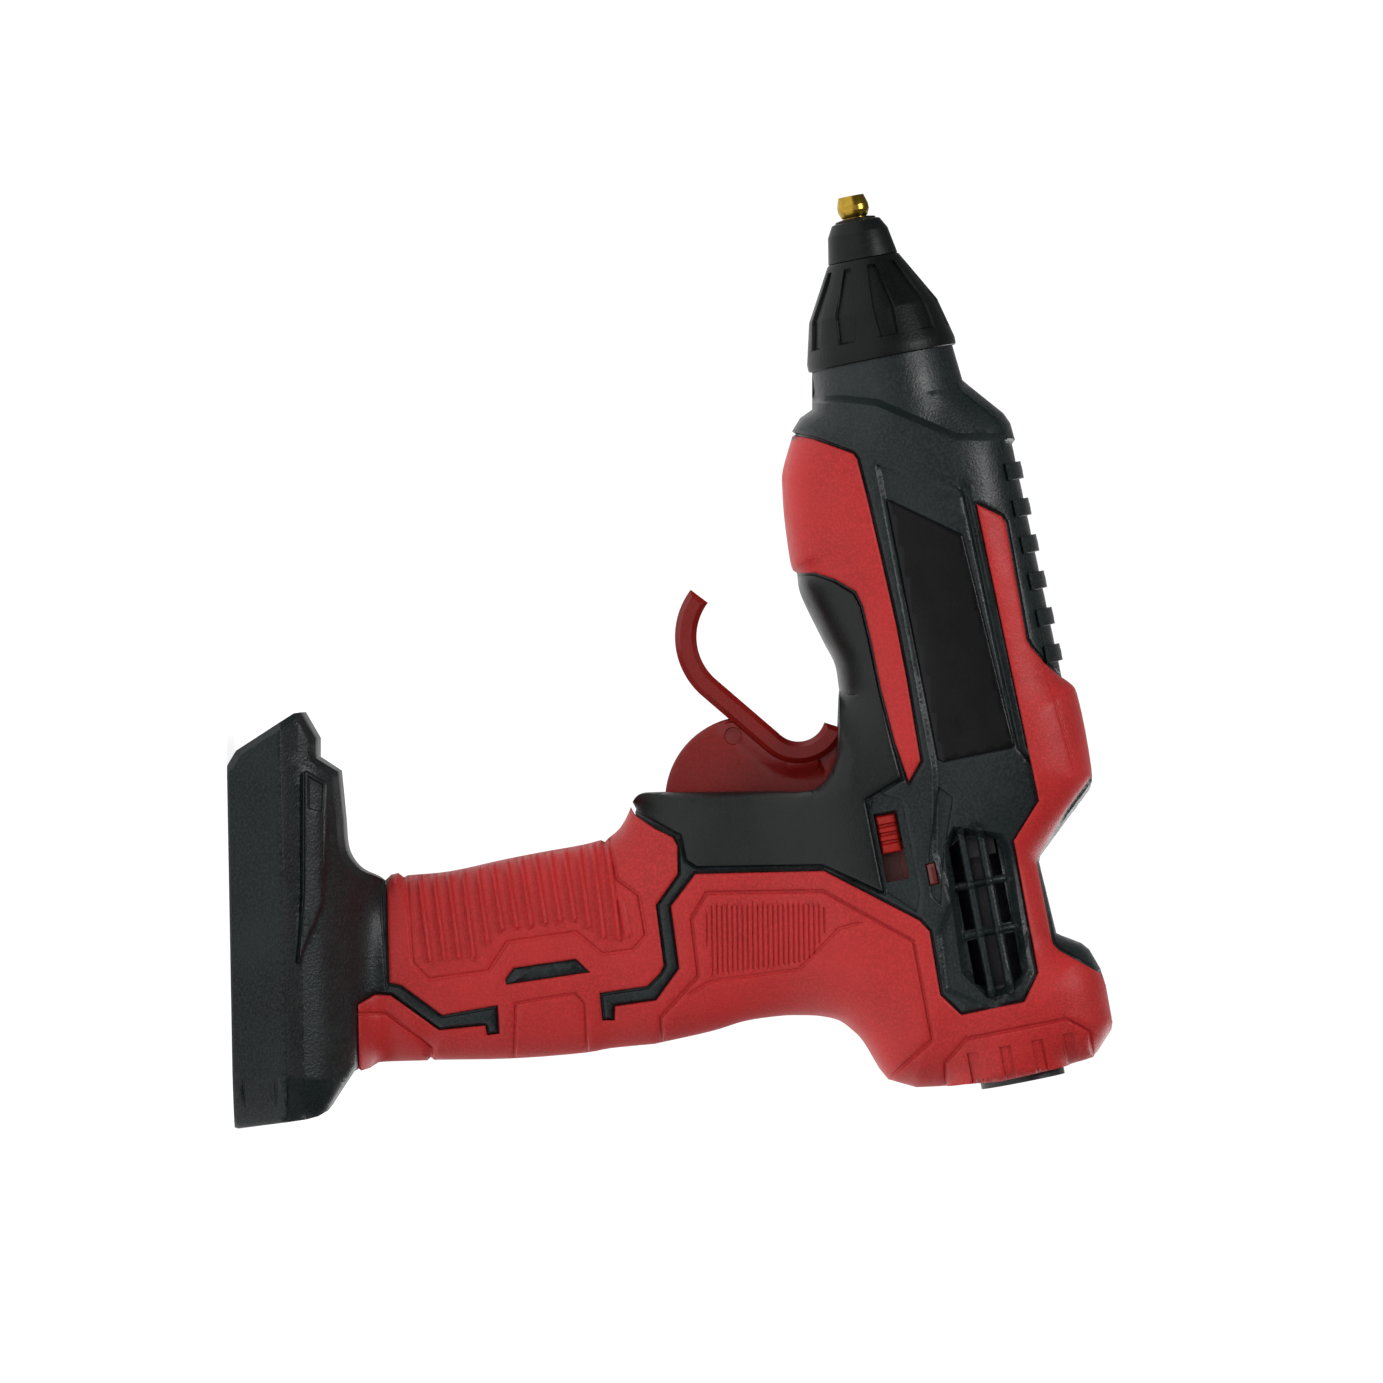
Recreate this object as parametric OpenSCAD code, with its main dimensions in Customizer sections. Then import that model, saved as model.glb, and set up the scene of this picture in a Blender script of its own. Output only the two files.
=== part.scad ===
// Cordless hot-melt glue gun without its battery.
// +X runs towards the nozzle, +Z up, and Y = 0 is the parting plane of the clamshell.
// The origin is the middle of the bounding box on the plane that the foot stands on.

/* [Barrel] */
// Nose-down tilt of the barrel axis, in degrees
tilt = 10; // [8:0.5:12]
// Half width of the barrel housing
barrel_half_w = 24; // [22:0.5:26]
// Thickness of the housing walls
wall = 3; // [2.5:0.1:3.5]
// Thickness of the overmoulded skins
skin = 1.5; // [1.2:0.1:1.7]

/* [Handle] */
// Half width of the handle
grip_half_w = 17; // [15:0.5:19]

/* [Foot] */
// Half width of the battery foot
foot_half_w = 38; // [36:0.5:40]
// Half width of the battery cavity between the side walls
cavity_half_w = 32; // [30:0.5:33]
// Height of the battery cavity
cavity_h = 10.5; // [9:0.5:11]

/* [Glue path] */
// Radius of the bore that the glue stick slides in
stick_bore_r = 6.2; // [5.8:0.1:6.4]
// Length of the straight bore in the stick guide
guide_len = 62; // [60:1:63]
// Radius of the hole through the nozzle
nozzle_hole_r = 1; // [0.8:0.1:1.4]

/* [Trigger] */
// Radius of the round plate on the trigger pin
plate_r = 21; // [20:0.5:21.5]
// Half thickness of that plate
plate_half_w = 5.5; // [5:0.25:6]
// Half width of the finger lever
lever_half_w = 8; // [7:0.5:8]
// Thickness of the finger lever
lever_t = 5.4; // [4.5:0.1:5.6]
// Radius of the trigger pin
pin_r = 1.5; // [1.3:0.1:1.6]
// Distance from the trigger pin to the nub that drives the feed carriage
arm_len = 41.9; // [41:0.1:42]

/* [Power switch] */
// Length of the slider
slider_len = 9.5; // [8.5:0.5:9.5]
// Width of the slider
slider_w = 5; // [4.5:0.1:5]

/* [Hidden] */
$fn = 48;

gap = 0.1;          // room between pieces that meet
far = 60;           // longer than any cut has to be
side_fn = 24;       // sides of a loft section
inner_fn = 12;      // sides of a section of the hollow
boss_fn = 12;       // sides of a boss and of a screw hole

// Where the barrel axis leaves the rear face
inlet = [-106, 0, 196.3];
// Trigger pin
pivot = [-36, 0, 129.3];

// Outline of the barrel along its axis: distance, top, bottom, half width
barrel_stations = [
    [1, 16, -19, 17], [4, 21.5, -27, 20.5], [9, 25, -34, 23], [20, 24.8, -36, barrel_half_w],
    [27, 22.5, -35, barrel_half_w], [34, 15.5, -33, barrel_half_w],
    [52, 15, -31, barrel_half_w], [68, 31, -29, barrel_half_w], [73, 31.8, -28.5, barrel_half_w],
    [91, 31.8, -28.2, barrel_half_w], [97, 29, -28, barrel_half_w],
    [115, 28.8, -27.8, barrel_half_w], [134, 28.3, -31.2, barrel_half_w],
    [148, 28, -31.6, barrel_half_w], [157, 27.8, -30.6, 23.5], [163.5, 27, -28.6, 22.5],
    [173.4, 18.6, -19.7, 18.6], [183, 17.8, -17.8, 17.8]
];
barrel_power = 3;

// Outline of the handle: height, front, rear, half width, squareness of the front
handle_stations = [
    [26, -46, -103.6, 19.5, 2.6], [38, -54.4, -99.8, 16.2, 2.6], [41, -52.7, -99.7, grip_half_w, 2.6],
    [66, -49.8, -99.4, grip_half_w, 2.6], [87, -46.7, -98.3, grip_half_w, 2.6],
    [94, -44.8, -97.3, grip_half_w, 2.8], [99, -39, -96.6, 17.5, 3.6], [102, -34, -96.3, 18, 5],
    [119, -34, -93.6, 18.8, 5], [136, -34, -90.1, 19.8, 5], [147, -32.6, -90.4, 20.8, 5],
    [151, -28, -91.6, 21.2, 5], [155.5, -27, -95.5, 22, 5], [159, -27, -100.5, 22.5, 5],
    [162, -28, -104.5, 22.5, 4], [172, -40, -106, 22.5, 3]
];
handle_power = 2.6;

// Rounded plates of the foot: height, rear, front, half width, corner radius
foot_plates = [
    [0, -115.2, -25, foot_half_w, 5], [13.3, -113.6, -14.4, foot_half_w, 5],
    [17.6, -113.2, -12.2, foot_half_w - 3.5, 5], [22, -111.6, -21, 31, 6],
    [24.5, -108.6, -25, 29, 7], [28, -103, -27.5, 25, 8]
];

// Screws in the right half: x, z, depth of the head's seat from the parting plane
screws = [
    [-104, 19.5, 24], [-34, 20.5, 24], [-74, 50, 9], [-62, 92, 9], [-82, 128, 10],
    [-97, 171, 12], [-95, 209.5, 9], [-14, 203.5, 10], [37, 149, 12], [45, 189, 10]
];
boss_r = 3.8;
guide_hole_r = 8.3; // holes that the stick guide passes through
arm_half_w = 3;     // half width of the trigger's arm
shank_r = 1.5;
head_r = 2.9;

// ---- outlines in the XZ plane ----
belly_outline = [
    [55, 136], [54.4, 143.7], [53.7, 146.7], [49.8, 156.6], [48.5, 157.6], [38.5, 160],
    [23.5, 163.2], [7, 166.6], [-6.7, 169], [-26.8, 172], [-32, 169], [-21.7, 165.6],
    [-9, 162.6], [3.5, 160.3], [12, 158.4], [15.5, 156.8], [18.6, 151.8], [20.4, 146.8],
    [20.8, 136]
];
grip_outline = [
    [36.7, 187.1], [33.6, 193.3], [32, 194.3], [2.7, 199], [0.7, 200.2], [-3.6, 203.9],
    [-6.5, 207], [-6, 222], [-31, 222], [-31.3, 214.9], [-39.9, 208.3], [-52, 200.8],
    [-53.5, 200.8], [-73, 204.2], [-74.6, 205.6], [-80.8, 216.3], [-82, 224], [-118, 224],
    [-118, 160], [-112, 150], [-112, 31], [-85, 31], [-82.6, 35.2], [-82.9, 39.2], [-91.8, 51],
    [-90.8, 62.6], [-93.3, 63], [-92.9, 66], [-85.9, 65.7], [-88.1, 51.9], [-80.4, 41.8],
    [-79.2, 41], [-80.5, 39.5], [-54, 38], [-30, 38], [-30, 99], [-39, 101], [-42.6, 105.7],
    [-44.9, 110.2], [-47, 111.2], [-53.9, 111.2], [-61.6, 105.6], [-76.6, 107.3],
    [-78.6, 106.3], [-81.8, 103], [-83.3, 91.2], [-90.1, 91.8], [-90.1, 94.8], [-86.6, 94.9],
    [-85.3, 105.2], [-77.4, 111.1], [-61.9, 109.3], [-54, 115.5], [-53.8, 147.5],
    [-66.5, 171], [-69.3, 173.5], [-85.1, 175.9], [-90.2, 181], [-87.2, 196.7], [-80, 200.3],
    [-49.2, 195.3], [-47.2, 194.9], [-37.3, 201.3]
];
window_outline = [[-79.4, 67.8], [-76.7, 69.8], [-74.7, 85.4], [-78, 88.8], [-80.7, 68]];
guard_outline = [
    [20.2, 136], [19.8, 146.6], [18, 151.4], [15, 156.1], [11.8, 157.7], [3.3, 159.6],
    [-9.2, 161.9], [-21.9, 164.9], [-31, 167.2], [-36.3, 158.1], [-59.5, 162.3],
    [-52.3, 147.3], [-52.3, 116], [-50.5, 113.3], [-44.2, 112], [-38.6, 101.4], [-30, 99],
    [-26, 99], [-26, 136]
];
label_outline = [
    [38.4, 164.2], [38.2, 166], [29.3, 183.8], [-23.5, 195.8], [-24.4, 194.8], [-27.6, 177.7],
    [-26.8, 176]
];

// ---- helpers ----
// Moves children into the barrel's own frame: z along the axis, -x up.
module on_barrel() {
    translate(inlet) rotate([0, 90 + tilt, 0]) children();
}
// A prism on an outline in the XZ plane, from y0 to y1.
module prism(outline, y0 = 0, y1 = far) {
    translate([0, y1, 0]) rotate([90, 0, 0]) linear_extrude(y1 - y0) polygon(outline);
}
// A cylinder along Y at [x, z], from y0 to y1.
module cross_pin(x, z, r, y0, y1, sides = $fn) {
    translate([x, y1, z]) rotate([90, 0, 0]) cylinder(h = y1 - y0, r = r, $fn = sides);
}
function power_of(v, n) = sign(v) * pow(abs(v), 2 / n);
// front_n is the squareness where x is above cx, and n where it is below.
function superellipse(cx, hx, hy, n, front_n, sides) = [
    for (i = [0 : sides - 1]) let (a = 360 * (i + 0.5) / sides, m = cos(a) > 0 ? front_n : n)
        [cx + hx * power_of(cos(a), m), hy * power_of(sin(a), m)]
];
// Points along an arc in the plane, from angle a0 to a1.
function arc(c, r, a0, a1, steps) = [
    for (i = [0 : steps]) let (a = a0 + (a1 - a0) * i / steps) [c[0] + r * cos(a), c[1] + r * sin(a)]
];
function unit(v) = v / norm(v);
// Corners of one ring of a swept tube.
function ring(p, t, ref, r, sides) = let (n = unit(cross(t, ref)), b = cross(t, n)) [
    for (k = [0 : sides - 1]) p + r * (cos(360 * k / sides) * n + sin(360 * k / sides) * b)
];
// A closed tube of radius r along a path. ref is never along the path.
module tube(path, r, ref, sides = 6) {
    n = len(path);
    rings = [for (i = [0 : n - 1])
        ring(path[i], unit(path[min(i + 1, n - 1)] - path[max(i - 1, 0)]), ref, r, sides)];
    skin_faces = [for (i = [0 : n - 2]) for (k = [0 : sides - 1]) let (m = (k + 1) % sides)
        [i * sides + k, i * sides + m, (i + 1) * sides + m, (i + 1) * sides + k]];
    start_cap = [[for (k = [sides - 1 : -1 : 0]) k]];
    end_cap = [[for (k = [0 : sides - 1]) (n - 1) * sides + k]];
    polyhedron([for (q = rings) for (p = q) p], concat(skin_faces, start_cap, end_cap));
}
// A smooth path through hand-set points, by Catmull-Rom curves.
function curve_point(a, b, c, d, t) =
    0.5 * (2 * b + (c - a) * t + (2 * a - 5 * b + 4 * c - d) * t * t
    + (3 * b - a - 3 * c + d) * t * t * t);
function smooth(points, steps) = let (n = len(points)) concat([
    for (i = [0 : n - 2]) for (s = [0 : steps - 1])
        curve_point(points[max(i - 1, 0)], points[i], points[i + 1], points[min(i + 2, n - 1)],
            s / steps)
], [points[n - 1]]);

// ---- the outer form, drawn in by an inset ----
// A convex block between each pair of neighbouring rings. All rings have the same point count.
module loft(rings) {
    n = len(rings[0]);
    sides = [for (k = [0 : n - 1]) let (m = (k + 1) % n) [k, m, m + n, k + n]];
    caps = [[for (k = [n - 1 : -1 : 0]) k], [for (k = [n : 2 * n - 1]) k]];
    for (i = [0 : len(rings) - 2]) hull()
        polyhedron(concat(rings[i], rings[i + 1]), concat(sides, caps));
}
function ring_at(outline, z) = [for (p = outline) [p[0], p[1], z]];
function barrel_ring(s, inset, shift, sides) = ring_at(superellipse(-(s[1] + s[2]) / 2,
    (s[1] - s[2]) / 2 - inset, s[3] - inset, barrel_power, barrel_power, sides), s[0] + shift);
module barrel_form(inset, sides) {
    on_barrel() loft([for (i = [0 : len(barrel_stations) - 1])
        barrel_ring(barrel_stations[i], inset, i == 0 ? inset : 0, sides)]);
}
module handle_form(inset, sides) {
    loft([for (s = handle_stations) ring_at(superellipse((s[1] + s[2]) / 2,
        (s[1] - s[2]) / 2 - inset, s[3] - inset, handle_power, s[4], sides), s[0])]);
}
function foot_ring(p) = let (r = p[4], cx = [p[2] - r, p[1] + r, p[1] + r, p[2] - r]) [
    for (q = [0 : 3]) each [for (v = arc([cx[q], (q < 2 ? 1 : -1) * (p[3] - r)], r, 90 * q,
        90 * q + 90, 4)) [v[0], v[1], p[0]]]
];
module foot_form() {
    loft([for (p = foot_plates) foot_ring(p)]);
}
module outer_form(inset, sides = side_fn) {
    barrel_form(inset, sides);
    handle_form(inset, sides);
}
module whole_form() {
    outer_form(0);
    foot_form();
}
// The left (1) or the right (-1) side of its children.
module half(side) {
    intersection() {
        children();
        translate([-150, side > 0 ? gap / 2 : -far - gap / 2, -10]) cube([300, far, 250]);
    }
}
// What the trigger sweeps through.
module trigger_room() {
    cross_pin(pivot[0], pivot[2], plate_r + 0.8, -plate_half_w - 0.6, plate_half_w + 0.6);
    translate([-38, -lever_half_w - 0.6, 145]) cube([28, 2 * lever_half_w + 1.2, 12]);
    translate([-42, -arm_half_w - 0.8, 148]) cube([26, 2 * arm_half_w + 1.6, 14]);
}
// The battery cavity: open below and in front, with a rail along each side.
module battery_room() {
    rail_w = 4.5;
    rail_h = 3;
    translate([-110, -cavity_half_w, rail_h]) cube([110, 2 * cavity_half_w, cavity_h - rail_h]);
    translate([-110, -cavity_half_w + rail_w, -1])
        cube([110, 2 * (cavity_half_w - rail_w), cavity_h + 1]);
}
// Nine openings between the fins of each vent.
module vent_slots() {
    on_barrel() for (u = [[23.5, 12.5], [38.5, 10], [50.5, 10.5]], v = [-6.1, -1.5, 3.3],
            y = [12, -12 - far])
        translate([-v - 1.3, y, u[0]]) cube([2.6, far, u[1]]);
}
// A wall across the barrel with a round hole. It ends a distance below the axis.
module cradle(u, t, hole_r, below = 27) {
    on_barrel() translate([0, 0, u]) difference() {
        translate([-27, -23, 0]) cube([27 + below, 46, t]);
        translate([0, 0, -1]) cylinder(h = t + 2, r = hole_r, $fn = 24);
    }
}
module inner_room() {
    outer_form(wall, inner_fn);
    hull() {
        translate([-108, -28, cavity_h + wall]) cube([80, 56, 6]);
        translate([-98, -15, 21]) cube([48, 30, 3.6]);
    }
    translate([0, 0, 22]) linear_extrude(7)
        polygon(superellipse(-75.5, 22, 14, handle_power, handle_power, inner_fn));
}
// The hollow half with its ribs and bosses, before the cuts of one side.
module half_body(side) {
    half(side) difference() {
        union() {
            difference() {
                whole_form();
                inner_room();
            }
            intersection() {
                whole_form();
                union() {
                    for (s = screws) cross_pin(s[0], s[1], boss_r, -far, far, boss_fn);
                    cross_pin(pivot[0], pivot[2], 4.5, -far, far, boss_fn);
                }
            }
            intersection() {
                outer_form(wall / 2);
                union() {
                    cradle(3, 2, guide_hole_r);
                    cradle(42, 2, guide_hole_r, 10.5);
                    cradle(136.8, 2, 8.7, 10.5);
                    cradle(173, 3, 14.4);
                }
            }
        }
        trigger_room();
        battery_room();
        cross_pin(pivot[0], pivot[2], pin_r + 0.15, -12.2, 12.2, 24);
        on_barrel() translate([0, 0, -2]) cylinder(h = 4.6, r = 10.8, $fn = 32);
        on_barrel() translate([0, 0, 2]) cylinder(h = 4, r = guide_hole_r, $fn = 24);
        on_barrel() translate([0, 0, 176.9]) cylinder(h = 10, r = 14.5, $fn = 32);
        skins_room();
        vent_slots();
    }
}
// Where the overmoulded skins lie.
module skins_room() {
    difference() {
        union() {
            prism(grip_outline, -far);
            prism(belly_outline, -far);
            prism(guard_outline, -far);
        }
        outer_form(skin);
        on_barrel() translate([0, 0, -5]) cylinder(h = 8, r = 11.2);
    }
}
module skin_on(outline, y0 = gap / 2, y1 = far) {
    intersection() {
        difference() {
            outer_form(0);
            outer_form(skin - gap / 2);
        }
        prism(outline, y0, y1);
    }
}
// Moves children to the slot of the power switch, on the left flank: z along the slot.
slot_from = 53.6;
slot_len = 17.4;
slot_w = 5.5;
slot_v = -21.4;
module at_slot() {
    on_barrel() translate([-slot_v, 0, slot_from]) children();
}
lens_uv = [54, -12.7];

// ---- housing ----
module left_housing() {
    color("#262c2e") difference() {
        half_body(1);
        for (s = screws) cross_pin(s[0], s[1], shank_r + 0.2, -1, 11.3, boss_fn);
        at_slot() translate([-slot_w / 2, 13, 0]) cube([slot_w, far, slot_len]);
        on_barrel() translate([-lens_uv[1] - 1.35, 13.5, lens_uv[0] - 2.9]) cube([2.7, far, 5.8]);
        difference() {
            prism(label_outline, 9);
            outer_form(0.55);
        }
    }
}
module right_housing() {
    color("#262c2e") difference() {
        half_body(-1);
        for (s = screws) {
            cross_pin(s[0], s[1], shank_r + 0.2, -far, 1, boss_fn);
            cross_pin(s[0], s[1], head_r + 0.3, -far, -s[2], boss_fn);
        }
    }
}

// ---- overmoulded skins ----
module screw_clearance() {
    for (s = screws) cross_pin(s[0], s[1], head_r + 0.5, -far, 0, boss_fn);
}
// The grip's skin between two planes.
module grip_skin(y0, y1) {
    difference() {
        skin_on(grip_outline, y0, y1);
        prism(window_outline, -far);
        on_barrel() translate([0, 0, -5]) cylinder(h = 8, r = 11.3);
    }
}
module left_grip() {
    color("#b23639") grip_skin(gap / 2, far);
}
module right_grip() {
    color("#b23639") difference() {
        grip_skin(-far, -gap / 2);
        screw_clearance();
    }
}
module left_belly_panel() {
    color("#b23639") skin_on(belly_outline);
}
module right_belly_panel() {
    color("#b23639") difference() {
        skin_on(belly_outline, -far, -gap / 2);
        screw_clearance();
    }
}
module finger_guard() {
    color("#1d2122") difference() {
        skin_on(guard_outline, -far);
        trigger_room();
        cross_pin(pivot[0], pivot[2], pin_r + fit_gap, -12.2, 12.2);
        at_slot() translate([-slot_w / 2 - 1, 10, -1]) cube([slot_w + 2, far, slot_len + 2]);
    }
}
module rating_label() {
    color("#141516") intersection() {
        difference() {
            outer_form(0);
            outer_form(0.5);
        }
        prism(label_outline, 5);
    }
}

// ---- nose ----
cone_profile = [[183.2, 18.7], [184.5, 18.8], [194.7, 16.3], [207.9, 8.9]];
cone_wall = 2.6;
function inside_of(profile, t) = [for (p = profile) [p[1] - t, p[0]]];
module nose_cone() {
    outside = [for (p = cone_profile) [p[1], p[0]]];
    inside = inside_of(cone_profile, cone_wall);
    pocket_depth = 0.9;
    color("#23282a") on_barrel() difference() {
        rotate_extrude() polygon(concat(outside, [for (i = [3 : -1 : 0]) inside[i]]));
        intersection() {
            rotate_extrude() polygon(concat(
                [for (p = outside) p + [1, 0]],
                [for (i = [3 : -1 : 0]) outside[i] - [pocket_depth, 0]]));
            for (k = [0 : 9]) rotate([0, 0, 36 * k + 9]) rotate([0, 90, 0])
                linear_extrude(24)
                polygon([[-187.5, -2.3], [-195, -2.6], [-206, -1], [-206, 1], [-195, 2.6],
                    [-187.5, 2.3]]);
        }
    }
}
module tip_cap() {
    color("#1b1f20") on_barrel() difference() {
        rotate_extrude() polygon([
            [5.2, 204.2], [6.1, 204.2], [6.1, 208.1], [8.7, 208.1], [7.4, 215.6], [6.6, 217.2],
            [5.4, 217.6], [5.2, 217.6]]);
        translate([0, 0, 200]) cylinder(h = 20, r = 5.2);
    }
}
module nozzle_seal() {
    color("#15181a") on_barrel() translate([0, 0, 212]) difference() {
        cylinder(h = 6.4, r = 5.1);
        translate([0, 0, -1]) cylinder(h = 9, r = 3.05);
    }
}
module nozzle() {
    color("#b59a4c") on_barrel() difference() {
        rotate_extrude() polygon([
            [0, 204], [3, 204], [3, 218.6], [3.3, 218.6], [3.95, 220.2], [3.95, 221.4],
            [3.2, 223.9], [0, 223.9]]);
        translate([0, 0, 200]) cylinder(h = 30, r = nozzle_hole_r);
        translate([0, 0, 203]) cylinder(h = 13, r = 2);
    }
}

// ---- hot end ----
chamber_from = 148;
chamber_to = 203.8;
module melt_chamber() {
    color("#b9bcbe") on_barrel() difference() {
        union() {
            translate([0, 0, chamber_from]) cylinder(h = 40, r = 9);
            translate([-6, -11, 156]) cube([12, 22, 28]);
            translate([0, 0, 187.9]) cylinder(h = 10, r1 = 9, r2 = 6);
            translate([0, 0, 197.8]) cylinder(h = chamber_to - 197.8, r = 6);
        }
        translate([0, 0, chamber_from - 1]) cylinder(h = 42, r = stick_bore_r);
        translate([0, 0, 188.9]) cylinder(h = 10, r1 = stick_bore_r, r2 = 2.2);
        translate([0, 0, 190]) cylinder(h = 20, r = 2.2);
    }
}
module heater_elements() {
    color("#d9d4c6") on_barrel() for (side = [-1, 1])
        translate([-5, side * 12.2 - 1.1, 157]) cube([10, 2.2, 26]);
}
module inlet_sleeve() {
    color("#c7502f") on_barrel() difference() {
        union() {
            translate([0, 0, 134]) cylinder(h = chamber_from - 134 - gap, r = 8.5);
            translate([0, 0, 139]) cylinder(h = 3, r = 11);
        }
        translate([0, 0, 130]) cylinder(h = 30, r = 6);
    }
}
module chamber_mount() {
    color("#3b3a33") on_barrel() translate([0, 0, 184.2]) difference() {
        cylinder(h = 3, r = 15.4);
        translate([0, 0, -1]) cylinder(h = 5, r = 9.1);
        for (k = [0 : 5]) rotate([0, 0, 60 * k + 30]) translate([12.3, 0, -1])
            cylinder(h = 5, r = 1.7);
    }
}

// ---- feed ----
rod_y = 12;
rod_r = 1.5;
fit_gap = 0.05;
rod_from = 56;
rod_to = 130;
carriage_from = 66;
carriage_to = 84;
nub_u = 74;
module stick_guide() {
    color("#202425") on_barrel() difference() {
        union() {
            translate([0, 0, -1.5]) cylinder(h = 4, r = 10.6);
            translate([0, 0, -1.5]) cylinder(h = guide_len + 1.5, r = 8.1);
            translate([-4, -15.5, rod_from]) cube([8, 31, guide_len - rod_from]);
        }
        translate([0, 0, -3]) cylinder(h = guide_len + 5, r = stick_bore_r);
        translate([0, 0, -2]) cylinder(h = 2, r1 = stick_bore_r + 2, r2 = stick_bore_r);
        for (y = [-rod_y, rod_y]) translate([0, y, rod_from - 1])
            cylinder(h = 9, r = rod_r + fit_gap);
    }
}
module rod_bracket() {
    color("#3b3a33") on_barrel() translate([0, 0, 126]) difference() {
        translate([-9.5, -18, 0]) cube([19, 36, 4]);
        translate([0, 0, -1]) cylinder(h = 6, r = 7);
        for (y = [-rod_y, rod_y]) translate([0, y, -1]) cylinder(h = 6, r = rod_r + fit_gap);
    }
}
module guide_rods() {
    color("#c4c8ca") on_barrel() for (y = [-rod_y, rod_y])
        translate([0, y, rod_from]) cylinder(h = rod_to - rod_from, r = rod_r);
}
module return_springs() {
    turns = 8;
    coil_r = 2.5;
    wire_r = 0.35;
    coil_from = carriage_to + 0.5;
    coil_to = 125.5;
    steps = 10;
    n = turns * steps;
    color("#8e9396") on_barrel() for (y = [-rod_y, rod_y]) tube(
        [for (i = [0 : n]) [coil_r * cos(360 * i / steps), y + coil_r * sin(360 * i / steps),
            coil_from + (coil_to - coil_from) * i / n]],
        wire_r, [0, 0, 1], 4);
}
module feed_carriage() {
    ear_y = 5;
    slot_half = 3.2;
    color("#d8d3c0") on_barrel() difference() {
        union() {
            translate([-9, -9, carriage_from]) cube([18, 18, carriage_to - carriage_from]);
            translate([-3.5, -15, carriage_from + 2])
                cube([7, 30, carriage_to - carriage_from - 2]);
            translate([8.9, -5, nub_u - 5.2]) cube([7.2, 10, 10.4]);
            for (y = [-ear_y - 2, ear_y]) translate([8, y, 80]) cube([7.5, 2, 11.5]);
        }
        translate([0, 0, carriage_from - 1]) cylinder(h = 30, r = 6.6);
        for (y = [-rod_y, rod_y]) translate([0, y, carriage_from])
            cylinder(h = 30, r = rod_r + fit_gap);
        translate([8.6, -6, nub_u - slot_half]) cube([9, 12, 2 * slot_half]);
        translate([jaw_v, -8, jaw_u]) rotate([-90, 0, 0]) cylinder(h = 16, r = 1.25);
    }
}
jaw_u = 88;
jaw_v = 12;
module jaw_pin() {
    color("#c4c8ca") on_barrel() translate([jaw_v, -6.9, jaw_u]) rotate([-90, 0, 0])
        cylinder(h = 13.8, r = 1.2);
}
module feed_jaw() {
    teeth = [for (k = [0 : 3]) each [[6.7, 91 + k * 1.2], [7.4, 91.5 + k * 1.2]]];
    color("#a9a38f") on_barrel() difference() {
        union() {
            translate([jaw_v, -4.6, jaw_u]) rotate([-90, 0, 0]) cylinder(h = 9.2, r = 2.8);
            translate([0, 4.6, 0]) rotate([90, 0, 0]) linear_extrude(9.2)
                polygon(concat(teeth, [[8.5, 96], [13.5, 90], [11.5, 86.5], [9.3, 88.6]]));
        }
        translate([jaw_v, -8, jaw_u]) rotate([-90, 0, 0]) cylinder(h = 16, r = 1.2 + fit_gap);
    }
}

// ---- trigger ----
// Finger curve: a wide arc under the finger, a straight, and a tight arc below the belly.
low_c = [4.8, 131];
low_r = 14.1;
top_c = [-14.8, 142];
top_r = 6.8;
tip_a = -53;
bend_a = -137;
hook_a = -250;
module lever_2d() {
    polygon(concat(
        arc(low_c, low_r, tip_a, bend_a, 10), arc(top_c, top_r, bend_a, hook_a, 10),
        arc(top_c, top_r + lever_t, hook_a, bend_a, 10),
        arc(low_c, low_r + lever_t, bend_a, tip_a, 10)));
    for (e = [[low_c, low_r, tip_a], [top_c, top_r, hook_a]])
        translate(arc(e[0], e[1] + lever_t / 2, e[2], e[2], 1)[0]) circle(r = lever_t / 2);
}
module in_xz(half_w) {
    translate([0, half_w, 0]) rotate([90, 0, 0]) linear_extrude(2 * half_w) children();
}
module trigger() {
    // The nub leans 9 degrees behind the perpendicular at rest, and 9 degrees ahead when pulled.
    nub = [pivot[0] + arm_len * sin(tilt - 9), pivot[2] + arm_len * cos(tilt - 9)];
    color("#a32a26") difference() {
        union() {
            in_xz(lever_half_w) lever_2d();
            in_xz(plate_half_w) translate([pivot[0], pivot[2]]) circle(r = plate_r, $fn = 96);
            in_xz(arm_half_w) polygon([
                [pivot[0] - 6, pivot[2]], [pivot[0] + 6, pivot[2]], [nub[0] + 1.5, nub[1]],
                [nub[0] - 1.5, nub[1]]]);
            cross_pin(nub[0], nub[1], 3, -3.8, 3.8);
        }
        cross_pin(pivot[0], pivot[2], pin_r + fit_gap, -10, 10);
    }
}
module trigger_pin() {
    color("#c4c8ca") cross_pin(pivot[0], pivot[2], pin_r, -12, 12);
}

// ---- electrics ----
board_y = 7.4;
board_t = 1.6;
module power_switch() {
    rest_from = slot_len - slider_len - 0.4;
    ribs = 4;
    color("#c4231c") at_slot() {
        translate([-slider_w / 2, 17.6, rest_from]) difference() {
            cube([slider_w, 4.6, slider_len]);
            for (k = [0 : ribs - 2]) translate([-1, 3.6, 2.2 + k * 2.1])
                cube([slider_w + 2, 2, 1]);
        }
        translate([-1.5, 15.3, rest_from + 3]) cube([3, 3, 3.5]);
    }
}
module switch_body() {
    color("#2b2b2b") at_slot() difference() {
        translate([-5, board_y + board_t, -1]) cube([10, 7.2, 20]);
        translate([-1.8, 14.8, 1]) cube([3.6, 3, 16]);
    }
}
module circuit_board() {
    color("#2d6b3f") on_barrel() {
        translate([11.5, board_y, 38]) cube([20, board_t, 36]);
        translate([25, board_y - 5, 44]) cube([5, 5, 8]);
        translate([14, board_y - 2, 42]) cube([5, 2, 6]);
        translate([24, board_y + board_t, 40]) cube([6, 2.4, 9]);
    }
}
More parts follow.
